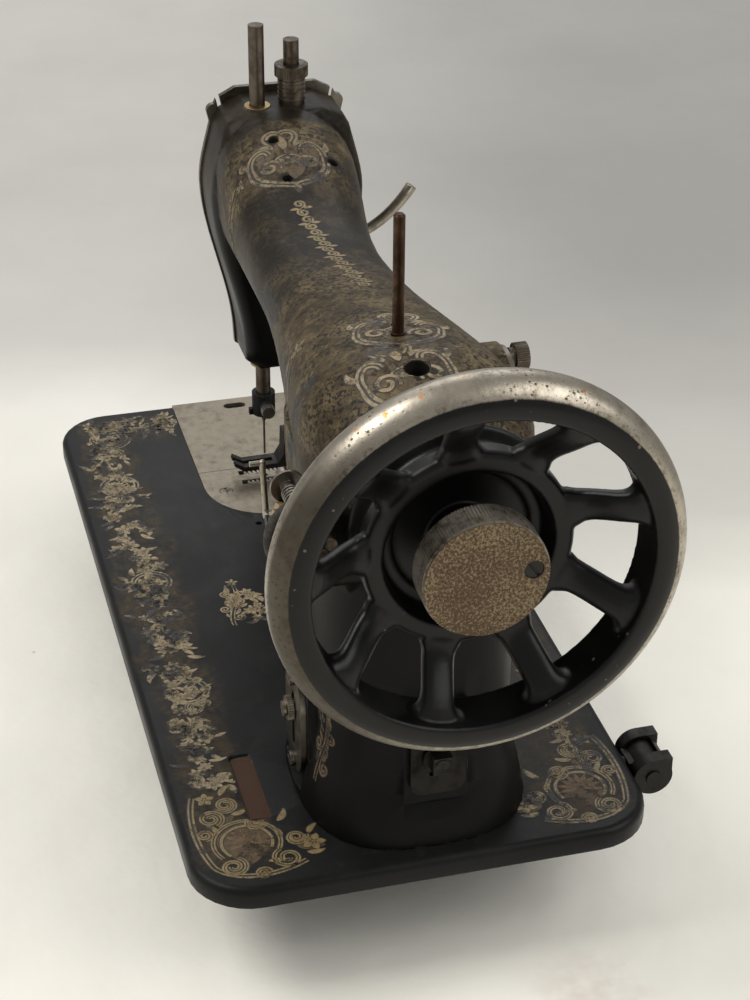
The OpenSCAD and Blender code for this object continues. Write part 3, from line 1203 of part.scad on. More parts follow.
module shuttle_race() color([0.42, 0.4, 0.37]) difference() {
    union() {
        along_x(race_x0, 0, hook_z) cylinder(race_x1 - race_x0, r = race_r);
        for (s = [-1, 1]) translate([race_lug_x - 4, s > 0 ? 9 : -race_lug_y - 5, bed_top_z - bed_plate_t - 4])
            cube([8, race_lug_y - 4, 4]);
    }
    along_x(race_x0 - 1, 0, hook_z) cylinder(race_x1 - race_x0 + 2, r = hook_r + free_gap);
    translate([race_x0 - 1, -1.8, hook_z + hook_r - 1]) cube([3, 3.6, 3.2]);
    for (s = [-1, 1]) translate([race_lug_x, s * race_lug_y, bed_top_z - bed_plate_t - 5])
        cylinder(6, r = race_screw_r);
}
module race_screws() color([0.3, 0.29, 0.27]) for (s = [-1, 1])
    translate([race_lug_x, s * race_lug_y, bed_top_z - bed_plate_t - 6]) mirror([0, 0, 1])
        slot_screw(3.6, 2, race_screw_r, 5.9);
module hook() color([0.55, 0.53, 0.5]) difference() {
    union() {
        along_x(hook_x1, 0, hook_z) cylinder(2, r = hook_r);
        along_x(hook_x0, 0, hook_z) ring(hook_r, 12.2, hook_x1 - hook_x0 + eps);
        along_x(-125, 0, hook_z) cylinder(hook_x1 + 125 + 1, r = 2.2);
    }
    // mouth in front of the point
    translate([hook_x0 - 1, 3, hook_z + 4]) cube([hook_x1 - hook_x0 + 1, 20, 8]);
}
module hook_shaft() color([0.42, 0.4, 0.37]) {
    along_x(hook_x1 + 2, 0, hook_z) cylinder(132.5 - hook_x1 - 2, r = hook_shaft_r);
    along_x(hook_bear_x[0] + 4.9, 0, hook_z) cylinder(6, r = hook_shaft_r + 3);
}
module hook_rocker() color([0.36, 0.34, 0.31]) slab_x(rod_x + rod_t / 2 + 0.5, 5) difference() {
    union() {
        bar2([0, hook_z], [rock_pin_y, hook_z], 3.8);
        translate([0, hook_z]) circle(8.4);
    }
    translate([0, hook_z]) circle(hook_shaft_r);
    translate([rock_pin_y, hook_z]) circle(2.8);
}
module rocker_pin() color([0.45, 0.43, 0.4]) {
    along_x(rod_x + rod_t / 2 + 0.5, rock_pin_y, hook_z) cylinder(7, r = 2.8);
    along_x(rod_x + rod_t / 2 + 5.6, rock_pin_y, hook_z) cylinder(1.4, r = 3.7);
}
module bobbin_case() color([0.5, 0.48, 0.45]) {
    difference() {
        union() {
            along_x(case_x0, 0, hook_z) cylinder(10.6, r = 11.7);
            translate([case_x0, -1.4, hook_z]) cube([1.3, 2.8, hook_r + 1.6]);
        }
        along_x(case_x0 + 1.3, 0, hook_z) ring(10.7, 3.2, 12);
        along_x(case_x0 - 1, 0, hook_z) cylinder(13, r = 2.2 + 0.06);
    }
}
module bobbin() color([0.55, 0.53, 0.5]) along_x(case_x0 + 1.6, 0, hook_z) difference() {
    union() {
        cylinder(1, r = 10.2);
        cylinder(8.4, r = 4.6);
        translate([0, 0, 7.4]) cylinder(1, r = 10.2);
    }
    translate([0, 0, -1]) cylinder(12, r = 3.2 + 0.06);
    for (a = [0:60:300]) rotate(a) translate([7.2, 0, -1]) cylinder(12, r = 1.2);
}

// ---------------------------------------------------------------- pieces that share a file
module frame_screws() {
    arm_bolt_set();
    needle_plate_screws();
    regulator_screws();
    face_plate_screws();
    race_screws();
    centre_screws();
}
module face_plate_set() {
    face_plate();
    face_thread_guide();
}
module head_studs() {
    take_up_stud();
    lifter_pin();
}
module bushings() {
    arm_bushings();
    bar_bushings();
}
module arm_shaft_set() {
    arm_shaft();
    stop_washer();
}
module crank_disc_set() {
    crank_disc();
    crank_pin();
}
module take_up_set() {
    take_up_lever();
    take_up_roller();
}
module needle_bar_collar_set() {
    needle_bar_collar();
    collar_pinch_screw();
}
module presser_guide_set() {
    presser_guide();
    guide_screw();
}
module tension_springs() {
    tension_spring();
    check_spring();
}
module winder_base_set() {
    winder_base();
    winder_base_screw();
    winder_tilt_pin();
}
module winder_frame_set() {
    winder_frame();
    winder_worm_stud();
    winder_guide_screw();
}
module winder_nut_set() {
    winder_nut();
    winder_screw();
}
module regulator_lever_set() {
    regulator_lever();
    regulator_thumbnut();
}
module end_plate_bolt_set() {
    end_plate_bolt();
    end_plate_washer();
}
module hinge_knuckle_set() {
    hinge_knuckles();
    hinge_pins();
}
module feed_rock_shaft_set() {
    feed_rock_shaft();
    feed_hinge_pin();
}
module feed_dog_set() {
    feed_dog();
    feed_dog_screws();
}
module hook_shaft_set() {
    hook_shaft();
    hook_rocker();
    rocker_pin();
}

// ---------------------------------------------------------------- what is shown

// the origin lies under the middle of the whole head's box
right_x = max(knob_x1, rim_x + rim_round);
mid_x = (right_x - bed_l / 2) / 2;
mid_y = (hinge_y + hinge_r - bed_w / 2) / 2;
translate([-mid_x, -mid_y, 0]) {
    bed_casting();
    arm_casting();
    frame_screws();
    slide_plate();
    needle_plate();
    face_plate_set();  // face_plate
    head_studs();
    bushings();
    arm_shaft_set();  // arm_shaft
    crank_disc_set();  // crank_disc
    needle_bar_link();
    rod_eccentrics();
    hook_rod();
    feed_rod();
    take_up_set();  // take_up_lever
    needle_bar();
    needle_bar_collar_set();  // needle_bar_collar
    needle_clamp();
    needle_clamp_screw();
    needle();
    presser_bar();
    pressure_thumbscrew();
    presser_spring();
    presser_guide_set();  // presser_guide
    presser_lifter();
    presser_foot();
    foot_screw();
    tension_stud();
    tension_discs();
    tension_springs();
    tension_nut();
    handwheel();
    stop_knob();
    knob_screw();
    winder_base_set();  // winder_base
    winder_frame_set();  // winder_frame
    winder_spindle();
    winder_pulley();
    winder_tyre();
    winder_nut_set();  // winder_nut
    winder_worm_wheel();
    winder_guide();
    rear_cover();
    rear_cover_thumbscrew();
    regulator_plate();
    regulator_lever_set();  // regulator_lever
    end_plate();
    end_plate_bolt_set();  // end_plate_bolt
    spool_pin();
    hinge_arms();
    hinge_knuckle_set();  // hinge_knuckles
    feed_rock_shaft_set();  // feed_rock_shaft
    feed_bar();
    feed_dog_set();  // feed_dog
    lift_rock_shaft();
    shuttle_race();
    hook();
    hook_shaft_set();  // hook_shaft
    bobbin_case();
    bobbin();
}
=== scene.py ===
import bpy
import bmesh
import math
import random
from mathutils import Vector, Matrix
from mathutils.bvhtree import BVHTree


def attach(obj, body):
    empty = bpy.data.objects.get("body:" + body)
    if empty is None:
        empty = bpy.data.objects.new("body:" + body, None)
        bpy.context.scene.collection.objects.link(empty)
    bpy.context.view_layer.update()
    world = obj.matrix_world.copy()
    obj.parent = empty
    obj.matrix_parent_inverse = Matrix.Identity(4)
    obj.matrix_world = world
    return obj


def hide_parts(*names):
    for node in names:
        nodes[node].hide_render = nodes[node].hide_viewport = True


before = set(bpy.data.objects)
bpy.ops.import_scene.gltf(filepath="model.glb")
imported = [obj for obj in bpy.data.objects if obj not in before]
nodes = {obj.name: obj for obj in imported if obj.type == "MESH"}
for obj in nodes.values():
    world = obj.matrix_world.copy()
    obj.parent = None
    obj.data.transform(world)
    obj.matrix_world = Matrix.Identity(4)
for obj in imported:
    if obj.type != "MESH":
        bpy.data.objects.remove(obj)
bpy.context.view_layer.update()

# Places in the part's frame, in metres. MX and MY are the bed's middle, BED is the bed's top.
MX, MY, BED = 0.02315, 0.0083, 0.052
SHAFT = BED + 0.151                       # height of the arm shaft
RIM_X = 0.2217 - MX                       # the handwheel's rim along X
RIM_R, RIM_T = 0.0604, 0.0096             # radius of the rim's middle circle and of its section
KNOB_FACE = 0.2302 - MX                   # outer face of the stop-motion knob
KNOB_SCREW = (KNOB_FACE, 0.0156 - MY, SHAFT + 0.0016)
PAD = (0.1255, -0.0575)                   # number recess, from the bed's middle

# The camera
CAM_AT = Vector((0.7874 - MX, -0.1885 - MY, 0.5836))
CAM_AIM = Vector((0.026577 - MX, 0.018334 - MY, 0.112))
CAM_ROLL = 0.008
SENSOR, LENS = 36, 79.67                  # millimetres

# Colours that several materials share, linear RGB
BLACK = (0.0075, 0.0075, 0.0075)
BROWN = (0.05, 0.036, 0.019)
TAN = (0.165, 0.124, 0.066)
RUST = (0.105, 0.043, 0.019)
SOOT = (0.012, 0.011, 0.01)
DUST = (0.05, 0.044, 0.036)
PAD_RUST = (0.055, 0.023, 0.014)
BARE = (0.16, 0.14, 0.115)
SCRATCH = (0.07, 0.065, 0.06)


def link(ob):
    bpy.context.scene.collection.objects.link(ob)
    return ob


def aimed(ob, at, aim, roll=0.0):
    """Puts a camera or a lamp at a point, looking at another."""
    ob.location = at
    ob.rotation_mode = "QUATERNION"
    q = (Vector(aim) - Vector(at)).to_track_quat("-Z", "Y")
    ob.rotation_quaternion = q @ Matrix.Rotation(roll, 3, "Z").to_quaternion()


# ---------------------------------------------------------------- camera
def make_camera():
    cam = bpy.data.cameras.new("camera")
    cam.sensor_width = SENSOR
    cam.lens = LENS
    ob = link(bpy.data.objects.new("camera", cam))
    aimed(ob, CAM_AT, CAM_AIM, CAM_ROLL)
    bpy.context.scene.camera = ob


make_camera()


# ---------------------------------------------------------------- shader helpers
class Mat:
    """A small builder for node materials. Lengths are metres in the object's own coordinates."""

    def __init__(self, name):
        self.m = bpy.data.materials.new(name)
        self.m.use_nodes = True
        self.t = self.m.node_tree
        self.t.nodes.clear()
        out = self.t.nodes.new("ShaderNodeOutputMaterial")
        self.b = self.t.nodes.new("ShaderNodeBsdfPrincipled")
        self.t.links.new(self.b.outputs[0], out.inputs[0])
        self.co = self.t.nodes.new("ShaderNodeTexCoord").outputs["Object"]
        self.nrm = self.t.nodes.new("ShaderNodeNewGeometry").outputs["Normal"]

    def put(self, sock, v):
        """Links a socket to a node's output, or sets it to a number or a colour."""
        if isinstance(v, bpy.types.NodeSocket):
            self.t.links.new(v, sock)
        elif isinstance(v, (tuple, list)) and len(v) == 3 and len(sock.default_value) == 4:
            sock.default_value = (*v, 1)
        else:
            sock.default_value = v

    def noise(self, scale, detail=4, rough=0.55, dist=0.0, co=None, w=None):
        """Fractal noise; w picks another pattern of the same kind."""
        n = self.t.nodes.new("ShaderNodeTexNoise")
        if w is not None:
            n.noise_dimensions = "4D"
            n.inputs["W"].default_value = w
        n.inputs["Scale"].default_value = scale
        n.inputs["Detail"].default_value = detail
        n.inputs["Roughness"].default_value = rough
        n.inputs["Distortion"].default_value = dist
        self.t.links.new(co or self.co, n.inputs["Vector"])
        return n.outputs["Fac"]

    def voro(self, scale):
        """Distance to the nearest of many scattered points."""
        n = self.t.nodes.new("ShaderNodeTexVoronoi")
        n.inputs["Scale"].default_value = scale
        self.t.links.new(self.co, n.inputs["Vector"])
        return n.outputs["Distance"]

    def step(self, v, a, b, lo=0.0, hi=1.0):
        """A soft step from lo at a to hi at b."""
        n = self.t.nodes.new("ShaderNodeMapRange")
        n.interpolation_type = "SMOOTHSTEP"
        self.put(n.inputs["Value"], v)
        n.inputs["From Min"].default_value = a
        n.inputs["From Max"].default_value = b
        n.inputs["To Min"].default_value = lo
        n.inputs["To Max"].default_value = hi
        return n.outputs["Result"]

    def fall(self, v, a, b):
        """1 up to a, 0 from b."""
        return self.step(v, a, b, 1.0, 0.0)

    def between(self, v, a, b, c, d):
        """Rises from a to b, falls from c to d."""
        return self.mul(self.step(v, a, b), self.fall(v, c, d))

    def math(self, op, a, b=0.0):
        n = self.t.nodes.new("ShaderNodeMath")
        n.operation = op
        self.put(n.inputs[0], a)
        self.put(n.inputs[1], b)
        return n.outputs[0]

    def mul(self, *v):
        r = v[0]
        for x in v[1:]:
            r = self.math("MULTIPLY", r, x)
        return r

    def add(self, *v):
        r = v[0]
        for x in v[1:]:
            r = self.math("ADD", r, x)
        return r

    def sub(self, a, b):
        return self.math("SUBTRACT", a, b)

    def inv(self, a):
        return self.sub(1.0, a)

    def top(self, a, b):
        """The greater of two."""
        return self.math("MAXIMUM", a, b)

    def cap(self, a):
        """No more than 1."""
        return self.math("MINIMUM", a, 1.0)

    def hyp(self, a, b):
        return self.math("SQRT", self.add(self.mul(a, a), self.mul(b, b)))

    def blend(self, a, b, k):
        """k of a and the rest of b."""
        return self.add(self.mul(a, k), self.mul(b, round(1 - k, 6)))

    def mix(self, f, a, b):
        """From colour a to colour b by f."""
        n = self.t.nodes.new("ShaderNodeMix")
        n.data_type = "RGBA"
        self.put(n.inputs[0], f)
        self.put(n.inputs[6], a)
        self.put(n.inputs[7], b)
        return n.outputs[2]

    def fmix(self, f, a, b):
        """From number a to number b by f."""
        n = self.t.nodes.new("ShaderNodeMix")
        n.data_type = "FLOAT"
        self.put(n.inputs[0], f)
        self.put(n.inputs[2], a)
        self.put(n.inputs[3], b)
        return n.outputs[0]

    def xyz(self, v=None):
        n = self.t.nodes.new("ShaderNodeSeparateXYZ")
        self.t.links.new(v or self.co, n.inputs[0])
        return n.outputs

    def vec(self, x, y, z):
        n = self.t.nodes.new("ShaderNodeCombineXYZ")
        for s, v in zip(n.inputs, (x, y, z)):
            self.put(s, v)
        return n.outputs[0]

    def spot(self, p, r0, r1):
        """1 inside distance r0 of a point, 0 beyond r1."""
        n = self.t.nodes.new("ShaderNodeVectorMath")
        n.operation = "DISTANCE"
        self.t.links.new(self.co, n.inputs[0])
        n.inputs[1].default_value = p
        return self.fall(n.outputs["Value"], r0, r1)

    def edge(self, r=0.0009):
        """1 on outer edges that are rubbed bare."""
        n = self.t.nodes.new("ShaderNodeBevel")
        n.samples = 4
        n.inputs["Radius"].default_value = r
        d = self.t.nodes.new("ShaderNodeVectorMath")
        d.operation = "DOT_PRODUCT"
        self.t.links.new(n.outputs[0], d.inputs[0])
        self.t.links.new(self.nrm, d.inputs[1])
        return self.step(d.outputs["Value"], 0.99, 0.86)

    def finish(self, color, rough, metal=0.0, heights=(), bevel=0.0004, spec=0.5, alpha=None):
        """Sets the surface. heights are (height, depth in metres) pairs for small bumps."""
        b = self.b
        self.put(b.inputs["Base Color"], color)
        self.put(b.inputs["Roughness"], rough)
        self.put(b.inputs["Metallic"], metal)
        b.inputs["Specular IOR Level"].default_value = spec
        n = None
        if bevel:
            bv = self.t.nodes.new("ShaderNodeBevel")
            bv.samples = 4
            bv.inputs["Radius"].default_value = bevel
            n = bv.outputs[0]
        for h, dist in heights:
            bu = self.t.nodes.new("ShaderNodeBump")
            bu.inputs["Strength"].default_value = 1.0
            bu.inputs["Distance"].default_value = dist
            self.put(bu.inputs["Height"], h)
            if n is not None:
                self.t.links.new(n, bu.inputs["Normal"])
            n = bu.outputs[0]
        if n is not None:
            self.t.links.new(n, b.inputs["Normal"])
        if alpha is not None:
            self.put(b.inputs["Alpha"], alpha)
        return self.m


def dimmed(color, k):
    return tuple(k * c for c in color)


def japan(name, wear=None, edge=0.6, rough=0.36, spec=0.13, base=BLACK):
    """Black stoved enamel: orange peel, dust, rubbed edges, and a map of where it is worn to brown and tan."""
    m = Mat(name)
    blotch = m.noise(26, 5, 0.6)
    fine = m.noise(420, 3, 0.6)
    c = m.mix(m.step(blotch, 0.45, 0.8), base, dimmed(base, 1.6))
    rg = m.add(m.step(blotch, 0.3, 0.75, rough - 0.06, rough + 0.12), m.mul(fine, 0.05))
    dust = m.mul(m.step(m.noise(95, 6, 0.72), 0.5, 0.85), 0.3)
    up = m.step(m.xyz(m.nrm)[2], 0.4, 1.0)
    c = m.mix(m.mul(dust, up), c, DUST)
    rg = m.fmix(m.mul(dust, up), rg, 0.62)
    if wear:
        worn, tan, specks, pad = wear(m)
        c = m.mix(worn, c, BROWN)
        c = m.mix(tan, c, TAN)
        c = m.mix(specks, c, SOOT)
        rg = m.fmix(worn, rg, 0.5)
        if pad is not None:
            c = m.mix(pad, c, PAD_RUST)
    e = m.mul(m.edge(), m.step(m.noise(180, 5, 0.7), 0.5, 0.66), edge)
    c = m.mix(e, c, BARE)
    rg = m.fmix(e, rg, 0.45)
    # fine scratches, long along X
    x, y, z = m.xyz()
    drawn = m.vec(m.mul(x, 60), m.mul(y, 900), m.mul(z, 400))
    scratch = m.step(m.noise(1.0, 5, 0.7, co=drawn), 0.7, 0.76)
    c = m.mix(m.mul(scratch, 0.25), c, SCRATCH)
    peel = m.noise(900, 2, 0.5)
    return m.finish(c, rg, 0.0, [(peel, 0.00004), (m.inv(dust), 0.00003)], bevel=0.0006, spec=spec)


def metal(name, base, dark, amount=0.5, rough=0.34, rust=0.2, pits=0.5, scale=1.0, brushed=None):
    """Worn plated or bare steel with stains, pits and rust; brushed is its grain's scale along X, Y and Z."""
    m = Mat(name)
    big = m.noise(38 * scale, 5, 0.62)
    mid = m.noise(190 * scale, 5, 0.7)
    c = m.mix(m.step(m.blend(big, mid, 0.6), 0.62 - 0.3 * amount, 0.78 - 0.2 * amount), base, dark)
    rg = m.step(mid, 0.3, 0.8, rough - 0.08, rough + 0.14)
    pit = m.mul(m.fall(m.voro(620 * scale), 0.16, 0.3), m.step(m.noise(60 * scale, 4, 0.6, w=3.0), 0.5, 0.62), pits)
    c = m.mix(pit, c, (0.05, 0.036, 0.025))
    r = m.mul(m.step(m.noise(120 * scale, 6, 0.75, w=7.0), 0.6, 0.7), rust)
    c = m.mix(r, c, RUST)
    met = m.inv(m.cap(m.add(m.mul(pit, 0.8), r)))
    rg = m.fmix(r, m.fmix(pit, rg, 0.75), 0.85)
    hs = [(m.inv(m.add(pit, m.mul(r, 0.4))), 0.00006), (mid, 0.00002)]
    if brushed:
        grain = [m.mul(v, k) for v, k in zip(m.xyz(), brushed)]
        hs.append((m.noise(1.0, 3, 0.6, co=m.vec(*grain)), 0.000015))
    return m.finish(c, rg, met, hs, bevel=0.0003)


# ---------------------------------------------------------------- enamel with its own wear
def bed_wear(m):
    """Wear of the bed: brown ground under the gilding along the edges and in the corners, and the bare recess."""
    x, y, z = m.xyz()
    bx = m.add(x, MX)
    by = m.add(y, MY)
    wob = m.mul(m.sub(m.noise(30, 4, 0.6, w=1.0), 0.5), 0.03)
    yy = m.add(by, wob)
    xx = m.add(bx, wob)
    top = m.step(z, BED - 0.0012, BED - 0.0006)
    front = m.mul(m.between(yy, -0.085, -0.08, -0.062, -0.054), m.step(xx, 0.176, 0.165), m.step(bx, -0.182, -0.172))
    rear_right = m.mul(m.between(xx, 0.118, 0.128, 0.171, 0.178), m.between(yy, 0.04, 0.05, 0.079, 0.085))
    front_left = m.mul(m.between(xx, -0.178, -0.171, -0.158, -0.145), m.between(yy, -0.084, -0.079, -0.04, -0.032))
    rear = m.mul(m.between(yy, 0.058, 0.064, 0.08, 0.085), m.step(bx, -0.1, 0.02, 0.25, 0.9), m.fall(xx, 0.17, 0.176))
    area = m.cap(m.add(front, rear_right, front_left, m.mul(rear, 0.8)))
    n = m.noise(120, 7, 0.72, dist=0.4)
    n2 = m.noise(420, 5, 0.7, w=2.0)
    worn = m.mul(area, m.step(m.blend(n, n2, 0.75), 0.4, 0.58), top, 0.85)
    tan = m.mul(area, m.step(m.blend(n, n2, 0.55), 0.54, 0.68), top, 0.4)
    soft = m.mul(m.step(m.noise(14, 3, 0.5, w=5.0), 0.6, 0.8), top, 0.16)
    worn = m.top(worn, soft)
    specks = m.mul(m.step(m.voro(520), 0.2, 0.34, 1.0, 0.0), area, top, 0.6)
    # rusted floor of the number recess
    px = m.math("ABSOLUTE", m.sub(bx, PAD[0]))
    py = m.math("ABSOLUTE", m.sub(by, PAD[1]))
    pad = m.mul(m.fall(px, 0.0200, 0.0206), m.fall(py, 0.0043, 0.0049),
                m.between(z, BED - 0.003, BED - 0.0026, BED - 0.0006, BED - 0.0003))
    return m.top(worn, pad), tan, specks, m.mul(pad, m.step(n2, 0.3, 0.66, 0.95, 0.45))


# oil holes on top of the arm: x and y from the bed's middle, and the radius
OIL_HOLES = ((0.147, 0.0, 0.0095), (0.107, 0.004, 0.0045), (-0.0747, 0.0, 0.004), (-0.0484, 0.0, 0.004),
             (-0.059, 0.022, 0.004))


def arm_wear(m):
    """Wear of the arm: most on the shoulder's top, a little on the head, black round the oiled holes."""
    x, y, z = m.xyz()
    bx = m.add(x, MX)
    up = m.step(m.xyz(m.nrm)[2], -0.55, 0.45)
    n = m.noise(62, 8, 0.7, dist=0.35, w=4.0)
    n2 = m.noise(300, 6, 0.75, w=6.0)
    shoulder = m.step(bx, 0.0, 0.075)
    head = m.step(bx, -0.035, -0.06)
    zone = m.cap(m.add(shoulder, m.mul(head, 0.7), 0.25))
    high = m.mul(m.step(z, BED + 0.108, BED + 0.15), m.step(bx, -0.091, -0.084, 0.15, 1.0))
    v = m.blend(n, n2, 0.6)
    worn = m.mul(m.step(v, 0.36, 0.46), zone, high, m.step(up, 0.0, 0.8, 0.6, 1.0), 0.97)
    tan = m.mul(m.step(v, 0.45, 0.62), zone, high, m.step(up, 0.0, 0.7, 0.35, 1.0), 0.85)
    patches = m.mul(m.step(m.noise(560, 3, 0.6, w=3.0), 0.52, 0.55), m.step(m.noise(44, 5, 0.65, w=9.0), 0.38, 0.5))
    dots = m.fall(m.voro(760), 0.12, 0.3)
    specks = m.mul(m.top(patches, m.mul(dots, 0.8)), high, up, 0.92)
    for hx, hy, hr in OIL_HOLES:
        d = m.hyp(m.sub(x, hx - MX), m.sub(y, hy - MY))
        specks = m.top(specks, m.mul(m.fall(d, hr * 0.75, hr * 1.3), high, 0.9))
    return worn, tan, specks, None


def rim_point(a, phi):
    """A point on the rim, by the angle a round the shaft from +Y to +Z and phi round the section from +X outwards."""
    a, phi = math.radians(a), math.radians(phi)
    r = RIM_R + RIM_T * math.sin(phi)
    return Vector((RIM_X + RIM_T * math.cos(phi), r * math.cos(a) - MY, SHAFT + r * math.sin(a)))


# orange rust spots on the rim: the two angles of rim_point and the spot's radius
RIM_RUST = ((118, 70, 0.0016), (108, 72, 0.0013), (126, 80, 0.0011), (150, 60, 0.0012), (96, 85, 0.0009),
            (64, 62, 0.0009))


def wheel_material():
    """The handwheel: a plated rim, black enamel inside it."""
    m = Mat("wheel")
    x, y, z = m.xyz()
    zz = m.sub(z, SHAFT)
    yy = m.add(y, MY)
    r = m.hyp(yy, zz)
    phi = m.math("ARCTAN2", m.sub(r, RIM_R), m.sub(x, RIM_X))      # angle round the rim's section
    jag = m.mul(m.sub(m.noise(160, 5, 0.75), 0.5), 0.09)
    ragged = m.add(phi, jag)
    on = m.mul(m.between(ragged, 0.42, 0.49, 2.55, 2.65), m.step(r, 0.058, 0.059))
    # plating
    big = m.noise(34, 5, 0.62)
    mid = m.noise(240, 6, 0.75)
    c = m.mix(m.step(m.blend(big, mid, 0.55), 0.42, 0.68), (0.40, 0.36, 0.295), (0.16, 0.133, 0.10))
    rg = m.step(mid, 0.3, 0.8, 0.28, 0.5)
    dense = m.step(m.noise(20, 3, 0.6, w=2.0), 0.42, 0.6)
    pit = m.mul(m.fall(m.voro(430), 0.14, 0.27), dense)
    pit = m.top(pit, m.mul(m.fall(m.voro(900), 0.16, 0.28), m.step(mid, 0.45, 0.6), 0.7))
    c = m.mix(m.mul(pit, 0.85), c, (0.055, 0.04, 0.028))
    rust = 0.0
    crumbs = m.step(m.noise(700, 3, 0.6, w=1.5), 0.36, 0.5)
    for a, b, k in RIM_RUST:
        rust = m.top(rust, m.mul(m.spot(rim_point(a, b), k * 0.3, k), crumbs))
    c = m.mix(rust, c, (0.42, 0.17, 0.04))
    # brown line where the plating ends, and the lower left of the rim made darker and rougher
    line = m.mul(m.between(phi, 0.38, 0.44, 0.58, 0.66), m.step(m.noise(300, 5, 0.8, w=4.0), 0.48, 0.6), 0.6)
    c = m.mix(line, c, (0.10, 0.06, 0.035))
    rim_lower_left = m.mul(m.step(yy, -0.006, -0.05), m.step(zz, 0.066, 0.034), m.step(phi, 1.25, 1.5, 1.0, 0.25), 0.86)
    c = m.mix(rim_lower_left, c, (0.05, 0.042, 0.032))
    rg = m.fmix(pit, m.fmix(rim_lower_left, rg, 0.5), 0.7)
    # enamel
    b = m.noise(60, 5, 0.6, w=3.0)
    bc = m.mix(m.step(b, 0.45, 0.8), (0.0035, 0.0034, 0.0033), (0.0075, 0.007, 0.0065))
    chips = m.mul(m.fall(m.voro(210), 0.10, 0.16), m.step(m.noise(45, 4, 0.6, w=8.0), 0.56, 0.62))
    bc = m.mix(chips, bc, (0.14, 0.11, 0.085))
    e = m.mul(m.edge(), m.step(m.noise(240, 5, 0.7), 0.5, 0.66), 0.7)
    bc = m.mix(e, bc, (0.12, 0.105, 0.09))
    br = m.add(m.step(b, 0.3, 0.8, 0.26, 0.42), m.mul(mid, 0.05))
    hs = [(m.mul(m.inv(pit), on), 0.00006), (m.noise(800, 2, 0.5), 0.00003)]
    met = m.mul(on, m.inv(m.mul(pit, 0.7)))
    return m.finish(m.mix(on, bc, c), m.fmix(on, br, rg), met, hs, bevel=0.0007, spec=0.24)


def knob_material():
    """The stop-motion knob: plating rusted brown on its face, cleaner on its knurled side."""
    m = Mat("knob")
    x, y, z = m.xyz()
    face = m.step(x, KNOB_FACE - 0.0006, KNOB_FACE - 0.0003)
    n = m.noise(1000, 6, 0.75, dist=0.2)
    n2 = m.noise(1500, 4, 0.7, w=2.0)
    big = m.noise(50, 3, 0.5, w=5.0)
    lower = m.step(m.sub(z, SHAFT), -0.018, 0.016, 0.018, 0.0)
    v = m.add(m.mul(n, 0.62), m.mul(n2, 0.22), m.mul(big, 0.16), lower)
    brown = m.step(v, 0.455, 0.53)
    c = m.mix(brown, (0.235, 0.182, 0.108), (0.075, 0.041, 0.018))
    c = m.mix(m.spot(KNOB_SCREW, 0.0031, 0.0036), c, (0.03, 0.024, 0.018))
    c = m.mix(m.step(n2, 0.6, 0.72), c, (0.05, 0.034, 0.022))
    side = m.mix(m.step(m.noise(300, 5, 0.7, w=6.0), 0.45, 0.65), (0.30, 0.27, 0.225), (0.11, 0.08, 0.055))
    met = m.fmix(face, 0.9, m.fmix(brown, 0.85, 0.2))
    rg = m.fmix(face, 0.42, m.fmix(brown, 0.4, 0.75))
    return m.finish(m.mix(face, side, c), rg, met, [(m.inv(brown), 0.00007), (n2, 0.00002)], bevel=0.0003)


def rubber():
    m = Mat("aged_rubber")
    n = m.noise(300, 6, 0.7)
    c = m.mix(m.step(n, 0.4, 0.7), (0.018, 0.016, 0.014), (0.055, 0.045, 0.035))
    return m.finish(c, 0.8, 0.0, [(n, 0.00012)], bevel=0.0003)


M = dict(
    bed=japan("bed_enamel", bed_wear),
    # painted shade: the arm gets a darker black than the bed, though both are the same enamel
    arm=japan("arm_enamel", arm_wear, rough=0.33, spec=0.1, base=(0.0038, 0.0037, 0.0035)),
    black=japan("plain_enamel", edge=0.8),
    dark_plate=metal("darkened_plate", (0.022, 0.02, 0.018), (0.01, 0.009, 0.008), 0.5, 0.4, 0.08, 0.3),
    iron=metal("blackened_iron", (0.035, 0.033, 0.031), (0.018, 0.016, 0.014), 0.5, 0.5, 0.25, 0.3),
    wheel=wheel_material(),
    knob=knob_material(),
    plate=metal("plate_nickel", (0.255, 0.225, 0.175), (0.165, 0.14, 0.105), 0.45, 0.5, 0.1, 0.3,
                brushed=(900, 60, 60)),
    nickel=metal("worn_nickel", (0.34, 0.305, 0.25), (0.12, 0.097, 0.072), 0.5, 0.38, 0.2, 0.6),
    chrome=metal("bright_nickel", (0.66, 0.63, 0.57), (0.34, 0.30, 0.25), 0.25, 0.2, 0.05, 0.4, 1.4),
    brown=metal("browned_steel", (0.12, 0.1, 0.08), (0.05, 0.034, 0.024), 0.7, 0.42, 0.18, 0.6, 1.6),
    rusty=metal("rusted_steel", (0.085, 0.05, 0.032), (0.045, 0.025, 0.016), 0.8, 0.5, 0.35, 0.7, 1.8),
    steel=metal("oiled_steel", (0.24, 0.215, 0.185), (0.09, 0.075, 0.06), 0.5, 0.36, 0.15, 0.5),
    bronze=metal("old_bronze", (0.34, 0.24, 0.11), (0.13, 0.085, 0.04), 0.5, 0.4, 0.05, 0.4),
    frame_plate=metal("face_nickel", (0.17, 0.155, 0.125), (0.055, 0.047, 0.037), 0.5, 0.4, 0.2, 0.6),
    rubber=rubber())

